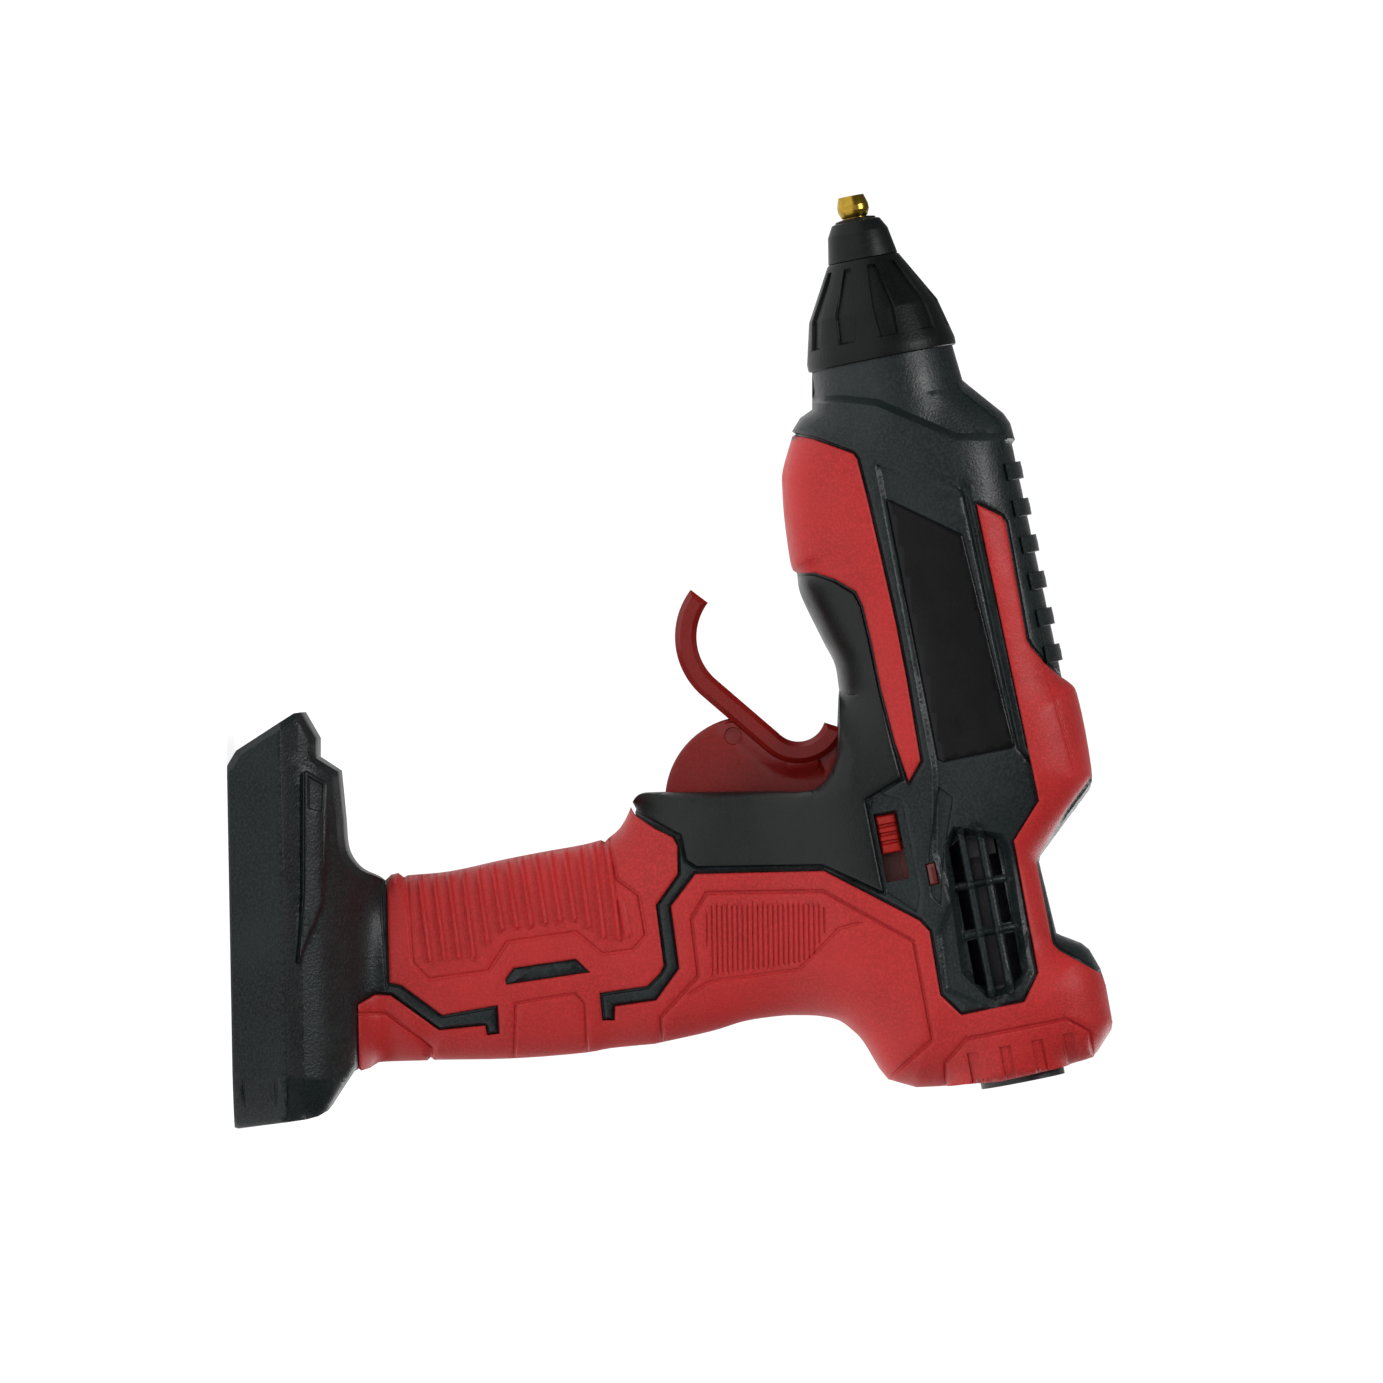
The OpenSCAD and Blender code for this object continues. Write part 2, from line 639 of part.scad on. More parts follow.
module status_led() {
    color("#d8d8d0") on_barrel()
        translate([-lens_uv[1] - 1, board_y + board_t, lens_uv[0] - 1.6]) cube([2, 1.4, 3.2]);
}
module led_lens() {
    color("#7a1414") on_barrel()
        translate([-lens_uv[1] - 1.25, 11.4, lens_uv[0] - 2.8]) cube([2.5, 11.7, 5.6]);
}
blade_y = [-9, -3, 3, 9];
module terminal_block() {
    color("#2b2b2b") difference() {
        translate([-106, -13, 3.5]) cube([26, 26, cavity_h - 3.5]);
        for (y = blade_y) translate([-97, y - 1, 2]) cube([20, 2, 7]);
    }
}
module battery_contacts() {
    color("#c9a86a") for (y = blade_y) translate([-96, y - 0.4, 4]) cube([18, 0.8, 4.5]);
}
lead_r = 1.1;
module battery_leads() {
    color("#b0221c") tube(smooth([
        [-92, 3, 14], [-90, 4, 22], [-84, 5, 36], [-82, 6, 60], [-78, 7, 84], [-76, 6, 106],
        [-70, 5, 118], [-66, 5, 134], [-66, 4.6, 150], [-65, 5.2, 156]], 3), lead_r, [0, 1, 0]);
    color("#222222") tube(smooth([
        [-92, -3, 14], [-90, -4, 22], [-84, -5, 36], [-82, -6, 60], [-78, -7, 84],
        [-76, -6, 106], [-70, -5, 118], [-66, -4, 134], [-62, 0, 148], [-60, 3.5, 153]], 3),
        lead_r, [0, 1, 0]);
}
module heater_leads() {
    left_route = [
        [15, 8.2, 74.1], [15.5, 8.8, 78], [17.5, 12, 88], [18, 14, 102], [15, 15, 115],
        [12.6, 16, 126], [12.4, 16.4, 134], [12, 16.4, 140], [7, 15.6, 149], [0, 14.4, 158]];
    right_route = [
        [18.5, 8.2, 74.1], [18.6, 8.2, 79], [19.5, 5, 91], [19.5, -5, 104], [16, -13, 114],
        [12.6, -16, 126], [12.4, -16.4, 134], [12, -16.4, 140], [7, -15.6, 149],
        [0, -14.4, 158]];
    color("#d8d2c4") on_barrel() for (route = [left_route, right_route])
        tube(smooth(route, 3), lead_r, [1, 0, 0]);
}
module case_screws() {
    grip_y = 9;
    color("#3a3d40") for (s = screws) {
        cross_pin(s[0], s[1], shank_r, -s[2], grip_y);
        difference() {
            cross_pin(s[0], s[1], head_r, -s[2] - 2, -s[2]);
            cross_pin(s[0], s[1], 1.2, -s[2] - 3, -s[2] - 0.8);
        }
    }
}

left_housing();
right_housing();
left_grip();
right_grip();
left_belly_panel();
right_belly_panel();
finger_guard();
nose_cone();
tip_cap();
nozzle_seal();
nozzle();
melt_chamber();
heater_elements();
inlet_sleeve();
chamber_mount();
stick_guide();
rod_bracket();
guide_rods();
return_springs();
feed_carriage();
jaw_pin();
feed_jaw();
trigger();
trigger_pin();
power_switch();
switch_body();
circuit_board();
status_led();
led_lens();
terminal_block();
battery_contacts();
battery_leads();
heater_leads();
case_screws();
rating_label();
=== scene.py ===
import math

import bmesh
import bpy
import numpy as np
from mathutils import Matrix, Vector
from mathutils.geometry import delaunay_2d_cdt


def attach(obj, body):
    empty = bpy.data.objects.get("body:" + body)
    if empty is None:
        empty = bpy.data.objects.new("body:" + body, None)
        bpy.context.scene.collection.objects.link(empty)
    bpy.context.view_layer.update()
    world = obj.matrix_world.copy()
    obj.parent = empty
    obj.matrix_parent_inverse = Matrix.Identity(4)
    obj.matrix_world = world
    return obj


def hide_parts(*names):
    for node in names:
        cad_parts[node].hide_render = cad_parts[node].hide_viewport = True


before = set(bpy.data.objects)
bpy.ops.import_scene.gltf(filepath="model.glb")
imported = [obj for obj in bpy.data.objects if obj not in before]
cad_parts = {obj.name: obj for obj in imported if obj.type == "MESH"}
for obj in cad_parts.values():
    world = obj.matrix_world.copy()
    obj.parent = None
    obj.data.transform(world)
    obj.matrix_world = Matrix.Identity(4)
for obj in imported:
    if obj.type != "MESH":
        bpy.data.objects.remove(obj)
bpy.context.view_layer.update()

# Millimetres in the frame of the CAD model; the meshes are scaled to metres.
# The tool lies in the XZ plane. The left half is where y is positive.
MM = 0.001
scene = bpy.context.scene

# ---- plane geometry
TILT = math.radians(10)
INLET = np.array([-106, 196.3])
ALONG = np.array([math.cos(TILT), -math.sin(TILT)])
UP = np.array([math.sin(TILT), math.cos(TILT)])
PIVOT = np.array([-36, 129.3])


def on_barrel(u, v):
    """The point u along the barrel's axis from the inlet, and v above it."""
    return INLET + u * ALONG + v * UP


def barrel_line(*uv):
    return [tuple(on_barrel(u, v)) for u, v in uv]


def length(v):
    return np.hypot(*v.T)


def box(x0, z0, x1, z1):
    return [(x0, z0), (x1, z0), (x1, z1), (x0, z1)]


def grown(ends, e):
    """A box's ends, moved outwards."""
    x0, z0, x1, z1 = ends
    return x0 - e, z0 - e, x1 + e, z1 + e


def is_in_box(x, z, ends):
    x0, z0, x1, z1 = ends
    return (x > x0) & (x < x1) & (z > z0) & (z < z1)


def barrel_box(*ends):
    return barrel_line(*box(*ends))


def barrel_coordinates(p):
    return (p - INLET) @ ALONG, (p - INLET) @ UP


def ease(value, start, end):
    t = np.clip((value - start) / (end - start), 0, 1)
    return t * t * (3 - 2 * t)


def level(profile, at):
    """The height of a profile of (distance, height) at each distance."""
    return np.interp(at, *zip(*profile))


def curve(points, steps=4):
    """A Catmull-Rom curve through the points."""
    p = np.array(points, float)
    p = np.vstack([2 * p[0] - p[1], p, 2 * p[-1] - p[-2]])
    t = (np.arange(steps) / steps)[:, None]
    parts = []
    for a, b, c, d in zip(p, p[1:], p[2:], p[3:]):
        parts.append(0.5 * (2 * b + (c - a) * t + (2 * a - 5 * b + 4 * c - d) * t ** 2
                            + (3 * b - a - 3 * c + d) * t ** 3))
    return [tuple(q) for q in np.vstack(parts + [p[-2:-1]])]


def arc(centre, radius, start, end, steps):
    angles = np.radians(np.linspace(start, end, steps + 1))
    return [(centre[0] + radius * math.cos(a), centre[1] + radius * math.sin(a)) for a in angles]


def circle(centre, radius, sides=24):
    return arc(centre, radius, 0, 360, sides)[:-1]


def divided(line, step, closed=False):
    """The line with points added, so that none are more than a step apart."""
    p = np.array(line, float)
    if closed:
        p = np.vstack([p, p[:1]])
    parts = []
    for a, b in zip(p, p[1:]):
        n = max(1, math.ceil(length(b - a) / step))
        parts.append(a + (b - a) * (np.arange(n) / n)[:, None])
    if not closed:
        parts.append(p[-1:])
    return np.vstack(parts)


def parallel(line, distance, closed=False):
    """The line moved to its left by a distance."""
    p = np.array(line, float)
    if closed:
        before, after = np.roll(p, 1, 0), np.roll(p, -1, 0)
    else:
        before = np.vstack([2 * p[0] - p[1], p[:-1]])
        after = np.vstack([p[1:], 2 * p[-1] - p[-2]])
    normals = []
    for step in (p - before, after - p):
        step = step / np.maximum(length(step), 1e-9)[:, None]
        normals.append(np.stack([-step[:, 1], step[:, 0]], 1))
    middle = normals[0] + normals[1]
    stretch = np.minimum(2 / np.maximum((middle ** 2).sum(1), 1e-9), 1.5)
    return p + middle * stretch[:, None] * distance


def offsets(loop, distances, step=1.2):
    """Closed lines at these distances inside a loop."""
    dense = divided(loop, step, True)
    return [(parallel(dense, s, True), True) for s in distances]


def distance_to(p, line, closed=False):
    a = np.array(line, float)
    b = np.roll(a, -1, 0)
    best = np.full(len(p), 1e9)
    for start, end in list(zip(a, b))[: None if closed else -1]:
        step = end - start
        t = np.clip((p - start) @ step / max(step @ step, 1e-12), 0, 1)
        best = np.minimum(best, length(p - start - t[:, None] * step))
    return best


def is_inside(p, loop):
    odd = np.zeros(len(p), bool)
    a = np.array(loop, float)
    for (x0, z0), (x1, z1) in zip(a, np.roll(a, -1, 0)):
        if z0 != z1:
            crosses = (z0 > p[:, 1]) != (z1 > p[:, 1])
            odd ^= crosses & (p[:, 0] < (x1 - x0) * (p[:, 1] - z0) / (z1 - z0) + x0)
    return odd


def depth_in(p, loop):
    """Distance to a loop: positive inside, negative outside."""
    return distance_to(p, loop, True) * np.where(is_inside(p, loop), 1, -1)


def ccw(loop):
    """The loop, turned counterclockwise."""
    a = np.array(loop, float)
    b = np.roll(a, -1, 0)
    return loop if (a[:, 0] * b[:, 1] - b[:, 0] * a[:, 1]).sum() > 0 else loop[::-1]


# ---- the side view's outline
SPINE_START, SPINE_END = np.array([51.8, 196.6]), np.array([-6.7, 208])
SPINE_LENGTH = length(SPINE_END - SPINE_START)
SPINE_RUN = (SPINE_END - SPINE_START) / SPINE_LENGTH
SPINE_IN = np.array([-SPINE_RUN[1], SPINE_RUN[0]])
# The row of low blocks on the spine
BLOCK_STARTS = [4.6 + 9.3 * k for k in range(6)]
BLOCK_LENGTH = 4.3
BLOCK_RISE = 1.2


def spine_point(along, depth=0):
    """A point of the spine, from its nose end back, and below its surface."""
    return tuple(SPINE_START + SPINE_RUN * along + SPINE_IN * depth)


def spine_blocks():
    """The black spine with its blocks, from the nose end back."""
    line = [spine_point(0)]
    for at in BLOCK_STARTS:
        line += [spine_point(at), spine_point(at, -BLOCK_RISE),
                 spine_point(at + BLOCK_LENGTH, -BLOCK_RISE), spine_point(at + BLOCK_LENGTH)]
    return line + [tuple(SPINE_END)]


# Kinds: round stretches curve away to nothing, and the others end in a face with a filleted edge.
OUTLINE = [
    ("nose", [(71.1, 147), (77.3, 182)]),
    ("round", [
        (77.3, 182), (68, 184.5), (59.6, 194.6), (57.1, 196.3), (52.8, 197.4), (51.8, 196.6)]),
    ("spine", spine_blocks()),
    ("round", curve([
        (-6.7, 208), (-8.7, 210.6), (-11.2, 211.8), (-20, 213.6), (-29, 214.9), (-32.8, 215.1),
        (-35.3, 214.1)], 2)),
    ("round", [
        (-35.3, 214.1), (-51.3, 201.8), (-52.8, 201.5), (-70.6, 205.5), (-71.2, 206.7),
        (-73.2, 211.7), (-74.8, 213.6), (-79.6, 216.3), (-83.9, 217.6), (-93.1, 219.1),
        (-94.9, 218.8), (-99.3, 215.9), (-101.8, 214.1), (-103.4, 208.4)]),
    ("rear", [(-103.4, 208.4), (-107.1, 190.8), (-107.7, 181.5), (-108.3, 177.3)]),
    ("round", [(-108.3, 177.3), (-108.5, 169.8), (-106.4, 162.8), (-103.6, 160.6)]),
    ("round", curve([
        (-103.6, 160.6), (-96.8, 156.7), (-93.7, 153.8), (-91.4, 150.6), (-90.3, 146.1),
        (-90, 141.3), (-90.1, 135.8), (-91.2, 127.3), (-93.6, 118.8), (-96.5, 104.7)])),
    ("round", curve([
        (-96.5, 104.7), (-97.4, 93.5), (-98.4, 87.2), (-99.5, 69.7), (-99.5, 49.4)], 3)),
    ("round", [
        (-99.5, 49.4), (-98.8, 48.6), (-99.6, 47.8), (-99.7, 35.7), (-101, 33.5),
        (-101.5, 31.5), (-101, 30.9)]),
    ("foot_rear", [
        (-101, 30.9), (-101.7, 29.6), (-105.4, 27), (-109.1, 24.5), (-111.1, 23.2),
        (-112.5, 20.7), (-113.2, 17.7), (-115.1, 0.9), (-114.8, 0)]),
    ("base", [(-114.8, 0), (-24.9, 0)]),
    ("foot_front", [
        (-24.9, 0), (-21.2, 2.3), (-12.2, 16.7), (-12, 18.2), (-18.6, 21.9), (-23.3, 21.8),
        (-26.9, 27.2)] + curve([
            (-39.2, 28.2), (-45.4, 28.6), (-48.7, 29.8), (-51.5, 32.3), (-53.3, 36.2),
            (-54.4, 38)], 3)),
    ("round", [(-54.4, 38), (-53, 39.5), (-52.6, 41.3), (-53.7, 42.7)] + curve([
        (-53.2, 43.7), (-52.4, 54.3), (-49.9, 66.8), (-48.1, 76.8), (-46.5, 86.9),
        (-45.3, 92.1)]) + [(-45.8, 93.1)] + curve([
            (-44.9, 93.9), (-42.9, 96.4), (-40.4, 98.2), (-38, 99.4)])),
    ("guard", curve([(-38, 99.4), (-35.2, 100.6), (-33.8, 102.6), (-33.6, 106)]) + curve([
        (-33.8, 137), (-34, 142.1), (-32.6, 147.1), (-26.4, 151), (-16.4, 151.9),
        (-8.9, 152.3)])),
    ("round", curve([
        (-8.9, 152.3), (-2.6, 151.4), (2.4, 149), (7.4, 146.6), (12.5, 144.2), (16.3, 142.8),
        (20.5, 142.3)]) + curve([
            (21.2, 141.3), (23.8, 140.6), (33.8, 139.4), (41.3, 139), (46.3, 139.2),
            (54.6, 141.7)]) + [
        (55.2, 142.6), (56, 141.7), (59.3, 143.8), (61.3, 146.8), (71.1, 147)]),
]
SILHOUETTE = [q for _, stretch in OUTLINE for q in stretch[:-1]]
# How far each faced end's edge is rounded
FILLETS = {"rear": 5, "guard": 5}


def stretches(*kinds):
    return [line for kind, line in OUTLINE if kind in kinds]


def distance_from(p, *kinds):
    return np.min([distance_to(p, line) for line in stretches(*kinds)], 0)


def lines_below(kinds, *depths):
    """Open lines at these distances inside the stretches of these kinds."""
    return [(parallel(divided(line, 1.5), d), False) for line in stretches(*kinds) for d in depths]


# ---- height of the flank
def rounded(d, radius):
    """How far a fillet stands below its face at a distance from the edge."""
    return radius - np.sqrt(radius ** 2 - (radius - np.clip(d, 0, radius)) ** 2)


SLEEVE_ZONE = [
    (62.8, 140), (62.8, 154.3), (61.7, 162.6), (52.8, 182.4), (52.6, 193.4), (56, 204), (90, 204),
    (90, 140)]
# Each block reaches a little way down the side
BLOCKS = [[spine_point(at, -4), spine_point(at, 3.2), spine_point(at + BLOCK_LENGTH, 3.2),
           spine_point(at + BLOCK_LENGTH, -4)] for at in BLOCK_STARTS]
BLOCK_EDGE = [(-0.12, 0), (0.12, 1)]


def spine_depth(p):
    """Distance below the spine's surface, which the blocks raise."""
    along, depth = (p - SPINE_START) @ SPINE_RUN, (p - SPINE_START) @ SPINE_IN
    beyond = np.maximum(np.maximum(-along, along - SPINE_LENGTH), 0)
    for block in BLOCKS:
        depth = depth + BLOCK_RISE * level(BLOCK_EDGE, depth_in(p, block))
    return np.hypot(np.maximum(depth, 0), beyond)


# Half widths of the foot by height: a flat side, a sloping band, and a shoulder up to the neck
FOOT_SECTION = [
    (0, 37.6), (0.5, 38), (13.3, 38), (13.7, 37.7), (17.9, 33.6), (18.4, 33.4), (22, 31),
    (24.5, 28.6), (28, 24.6), (33, 19.8), (38, 16.4)]
FOOT_HEEL = -101


def flank(p):
    """Half the tool's width at points of the XZ plane, before the surface details."""
    u, v = barrel_coordinates(p)
    z = p[:, 1]
    at_barrel = ease(v, -54, -27)
    handle_w = np.interp(z, [38, 42, 94, 119, 136, 147, 155, 162],
                         [16.3, 17, 17, 18.8, 19.8, 20.8, 22, 22.5])
    barrel_w = np.interp(u, [-3, 6, 20, 183], [19, 22, 24, 24])
    width = handle_w + (barrel_w - handle_w) * at_barrel
    reach = 24 + 4 * at_barrel
    power = 2.5 + 0.5 * at_barrel
    d = np.minimum(distance_from(p, "round"), spine_depth(p))
    body = width * (1 - (1 - np.clip(d / reach, 0, 1)) ** power) ** (1 / power)
    for kind, radius in FILLETS.items():
        body = np.minimum(body, width - rounded(distance_from(p, kind), radius))
    sleeve_r = np.interp(u, [150, 173.4, 183], [20.4, 18.7, 17.8])
    sleeve = np.sqrt(np.maximum(sleeve_r ** 2 - v ** 2, 0))
    # The spine's cheek runs out of the round sleeve, with a raised rim along its edge
    rim = 2 * (1 - ease(distance_from(p, "round"), 1.7, 2.1))
    cheek = (body - 5.5 + rim) * (1 - ease(u, 171, 174))
    blend = 1.2
    gap = np.clip(0.5 + (cheek - sleeve) / (2 * blend), 0, 1)
    sleeve = sleeve + (cheek - sleeve) * gap + blend * gap * (1 - gap)
    past_step = np.clip((depth_in(p, SLEEVE_ZONE) + 0.2) / 1.9, 0, 1)
    body = body + (sleeve - body) * past_step
    behind = np.maximum(FOOT_HEEL - p[:, 0] - 0.1 * z, 0)
    foot = level(FOOT_SECTION, z) - 0.38 * behind - behind ** 2 / 40 \
        - np.maximum(1.6 - distance_from(p, "foot_front"), 0) \
        - rounded(distance_from(p, "foot_rear"), 1.5)
    return foot + (body - foot) * ease(z, 28, 40)


# ---- surface details
def groove(line, width=0.9, depth=0.5):
    """A rounded channel along an open line."""
    return line, False, [(0, -depth), (width * 0.28, -depth * 0.9), (width * 0.5, -depth * 0.2),
                         (width * 0.5 + 0.25, 0)]


def bead(line, width=1.3, height=0.4):
    """A rounded ridge along an open line."""
    return line, False, [(0, height), (width * 0.25, height * 0.86), (width * 0.5, height * 0.2),
                         (width * 0.5 + 0.15, 0)]


def panel(loop, edge, depth):
    """Lowers the inside of a loop by a depth, over a sloping edge."""
    return ccw(loop), True, [(-0.15, 0), (0.1, -0.12 * depth), (edge - 0.1, -0.93 * depth),
                             (edge + 0.15, -depth)]


def detail_height(details, p):
    total = np.zeros(len(p))
    for line, closed, profile in details:
        a = np.array(line)
        near = ((p > a.min(0) - 3) & (p < a.max(0) + 3)).all(1)
        if near.any():
            s = depth_in(p[near], line) if closed else distance_to(p[near], line)
            total[near] += level(profile, s)
    return total


def detail_lines(details):
    """The lines along which the details' slopes change."""
    lines = []
    for line, closed, profile in details:
        dense = divided(line, 1.2, closed)
        for s, _ in profile:
            for side in ([s] if closed or s == 0 else [s, -s]):
                lines.append((parallel(dense, side, closed), closed))
    return lines


BELLY = [
    (55, 130), (54.4, 143.7), (53.7, 146.7), (49.8, 156.6), (48.5, 157.6), (38.5, 160),
    (23.5, 163.2), (7, 166.6), (-6.7, 169), (-26.8, 172), (-32, 169), (-21.7, 165.6), (-9, 162.6),
    (3.5, 160.3), (12, 158.4), (15.5, 156.8), (18.6, 151.8), (20.4, 146.8), (20.8, 130)]
GRIP = [
    (36.7, 187.1), (33.6, 193.3), (32, 194.3), (2.7, 199), (0.7, 200.2), (-3.6, 203.9),
    (-6.6, 207.4), (-5, 224), (-31, 224), (-31.3, 214.9), (-39.9, 208.3), (-52, 200.8),
    (-53.5, 200.8), (-73, 204.2), (-74.6, 205.6), (-80.8, 216.3), (-82, 226), (-120, 226),
    (-120, 160), (-112, 150), (-112, 31), (-85, 31), (-82.6, 35.2), (-82.9, 39.2), (-91.8, 51),
    (-90.8, 62.6), (-93.3, 63), (-92.9, 66), (-85.9, 65.7), (-88.1, 51.9), (-80.4, 41.8),
    (-79.8, 38.9), (-54, 38.6), (-40, 38.6), (-30, 60), (-30, 96), (-39, 100.6), (-42.6, 105.7),
    (-44.9, 110.2), (-47, 111.2), (-53.9, 111.2), (-61.6, 105.6), (-76.6, 107.3), (-78.6, 106.3),
    (-81.8, 103), (-83.3, 91.2), (-90.1, 91.8), (-90.1, 94.8), (-86.6, 94.9), (-85.3, 105.2),
    (-77.4, 111.1), (-61.9, 109.3), (-54, 115.5), (-53.8, 147.5), (-66.5, 171), (-69.3, 173.5),
    (-85.1, 175.9), (-90.2, 181), (-87.2, 196.7), (-80, 200.3), (-49.2, 195.3), (-47.2, 194.9),
    (-37.3, 201.3)]
WINDOW = [
    (-79.4, 67.8), (-76.7, 69.8), (-74.7, 85.4), (-78, 88.8), (-80.7, 68)]
GUARD = [
    (20.2, 130), (19.8, 146.6), (18, 151.4), (15, 156.1), (11.8, 157.7), (3.3, 159.6),
    (-9.2, 161.9), (-21.9, 164.9), (-31, 167.2), (-36.3, 158.1), (-59.5, 162.3), (-52.3, 147.3),
    (-52.3, 116), (-50.5, 113.3), (-44.2, 112), (-38.6, 101.6), (-30, 97), (-20, 97), (-20, 130)]
LABEL = [
    (38.4, 164.2), (38.2, 166), (29.3, 183.8), (-23.5, 195.8), (-24.4, 194.8), (-27.6, 177.7),
    (-26.8, 176)]
VENT = [
    (-48.1, 177.4), (-43.4, 179.9), (-45.4, 191.9), (-48.4, 193.9), (-78.7, 197.8), (-82.7, 196),
    (-84.9, 193.2), (-86.1, 187.7), (-82, 183.5), (-79.7, 181.3)]
SLOT = [(-39.9, 160), (-38.9, 165.8), (-56, 168.8), (-57, 163)]
LENS_HOLE = barrel_box(51.2, -14, 56.8, -11.4)
# Screws through the right half: x, z and the depth of the head's seat
SCREWS = [
    ((-104, 19.5), 24), ((-34, 20.5), 24), ((-74, 50), 9), ((-62, 92), 9), ((-82, 128), 10),
    ((-97, 171), 12), ((-95, 209.5), 9), ((-14, 203.5), 10), ((37, 149), 12), ((45, 189), 10)]


def vent_openings():
    """Three rows of three openings, with slanted corners at the outer ends."""
    holes = []
    for v0, v1 in ((-7.4, -4.8), (-2.8, -0.2), (2, 4.6)):
        cut_low, cut_high = (1.6 if v0 < -5 else 0), (1.6 if v1 > 3 else 0)
        holes.append(barrel_line((23.5 + cut_low, v0), (36, v0), (36, v1), (23.5 + cut_high, v1)))
        holes.append(barrel_box(38.5, v0, 48.5, v1))
        holes.append(barrel_line((50.5, v0), (61 - cut_low, v0), (61 - cut_high, v1), (50.5, v1)))
    return holes


def vent_fins():
    """Two long fins, and lower cross bars between the openings."""
    fins = [(barrel_line((22, v), (63, v)), False, [(0, 2.6), (0.6, 2.5), (0.9, 2.1), (1.05, 0)])
            for v in (-3.8, 0.9)]
    bars = [bead(barrel_line((u, -7.6), (u, 4.8)), 1.7, 0.8) for u in (49.5, 37.2)]
    return fins + bars


BLACK_DETAILS = [
    # lower bed of the label and of the vent, with a long slope in front
    (ccw([(47.7, 161.9), (39.4, 185.4), (-24, 198), (-30, 203), (-40, 203), (-49, 198),
          (-66, 200.8), (-90, 190), (-84, 176.5), (-70, 175.2), (-62, 178.5), (-50, 174.6),
          (-29.3, 174.9)]), True, [(-0.3, 0), (0.1, -0.15), (1.1, -1.25), (1.5, -1.4)]),
    panel(LABEL, 0.35, 0.55),
    groove([(41, 184.4), (-23.6, 197), (-27, 200)], 2.4, 1.1),
    panel(VENT, 1.6, 2.9),
    # step round the switch and the light
    panel([(-34, 160.2), (-38.6, 158.9), (-59.5, 162.6), (-65, 170.6), (-60, 171.6), (-36, 167.4)],
          0.7, 0.8),
    panel([(-33, 176.3), (-50.6, 173.2), (-60.6, 173.8), (-63.4, 176.6), (-50.6, 177.6),
           (-36, 180.2)], 0.6, 0.7),
    groove([(52.4, 193.6), (-4, 204.4)], 0.8, 0.45),
    # pads and lines of the foot and the neck
    panel([(-26.6, 19.8), (-29.6, 24.6), (-37.6, 24.1), (-59.4, 23.3), (-70.4, 18.5), (-74.5, 17.2),
           (-74.5, 16.6), (-57, 18.3), (-26.6, 18.9)], 0.5, -1.7),
    panel([(-27.4, 19.8), (-29.9, 23.8), (-37, 23.4), (-36, 19.8)], 0.5, 0.7),
    groove([(-50, 36.8), (-55.4, 37), (-81, 38.2)], 0.8, 0.45),
]
FRONT_PANEL = [
    (-40, 42.9), (-58.2, 43.7), (-75, 44.8), (-79.1, 48.8), (-77.3, 63.6), (-70.2, 68.4),
    (-68, 85.5), (-73.6, 92.1), (-72.7, 99.6), (-69, 103), (-59, 101.4), (-54.9, 96), (-40, 93.2)]
HATCH = [
    (-64.5, 117.6), (-62.3, 119.6), (-62.3, 146.6), (-64.9, 149.1), (-66.9, 148.5), (-75, 144.4),
    (-76.2, 141.3), (-78.8, 118.8)]


def spans(loop, z):
    """The lowest and highest x where a level line crosses a loop."""
    a = np.array(loop)
    found = [x0 + (x1 - x0) * (z - z0) / (z1 - z0)
             for (x0, z0), (x1, z1) in zip(a, np.roll(a, -1, 0)) if (z0 > z) != (z1 > z)]
    return min(found), max(found)


def grip_ribs():
    """Ribs across the front of the handle, and the slot-shaped one above them."""
    ribs = []
    for k in range(14):
        z = 46.5 + 3.62 * k
        x_back = np.interp(z + 2.5, [40, 60.5, 66.5, 86, 93, 100],
                           [-75.2, -73.4, -66.8, -64.6, -70, -69.4])
        x_front = np.interp(z, [44, 54, 67, 77, 87, 93], [-51, -50, -47.4, -45.8, -44.2, -43])
        ribs.append(bead([(x_front, z - 0.2), (x_back, z + 2.6)], 1.4, 1))
    ribs.append(bead([(-60.2, 96.9), (-69.2, 98.5)], 1.8, 0.8))
    return ribs


def hatching():
    lines = []
    for k in range(24):
        z = 118.2 + 1.27 * k
        low, high = spans(HATCH, z)
        lines.append(groove([(low, z), (high, z)], 0.55, 0.5))
    return lines


RED_DETAILS = [
    panel(FRONT_PANEL, 0.5, 0.6), groove(FRONT_PANEL, 1, 0.6),
    groove([(-104, 88), (-85.8, 87.4), (-83.2, 85.2), (-85.4, 70.2), (-104, 69.4)], 0.8, 0.55),
    groove([(-87.3, 29), (-87.4, 38.1), (-96.2, 49.4), (-104, 49.6)], 0.9, 0.7),
    groove([(-104, 106.6), (-95.8, 106.5), (-89.6, 106.3), (-79.5, 115.8), (-65.2, 114.3),
            (-58.8, 118.2), (-58.8, 147.2), (-71.7, 169.4), (-96.3, 173.7), (-104.6, 164.3),
            (-110, 160)], 1, 0.75),
    groove([(-84, 113.5), (-80.8, 119), (-78.2, 141.1), (-68.2, 151), (-67, 156)], 0.9, 0.45),
    groove([(-112, 177.3), (-102.1, 176.9), (-96.2, 182.2), (-91.7, 207.3), (-95, 213),
            (-104, 214.1)], 1, 0.8),
    groove([(2.7, 201.6), (-30, 210.4)], 0.7, 0.3),
] + grip_ribs() + hatching() + [
    panel(barrel_box(-6, v - 1.6, 8.6, v + 1.6), 0.3, 0.8) for v in (-11.3, -3.1, 5, 13.1)]
# The skins' edge and the groove round it: distance in from the edge, and height
SKIN_EDGE = [(0, -0.75), (0.12, -0.38), (0.35, -0.12), (0.75, 0)]
SKIN_BED = [(-1.1, 0), (-0.8, -0.12), (-0.55, -0.75), (0, -1.05), (0.1, -1.5)]
SKIN_T = 1.42
WALL = 3
HALF_GAP = 0.05  # each half keeps this far from the middle plane


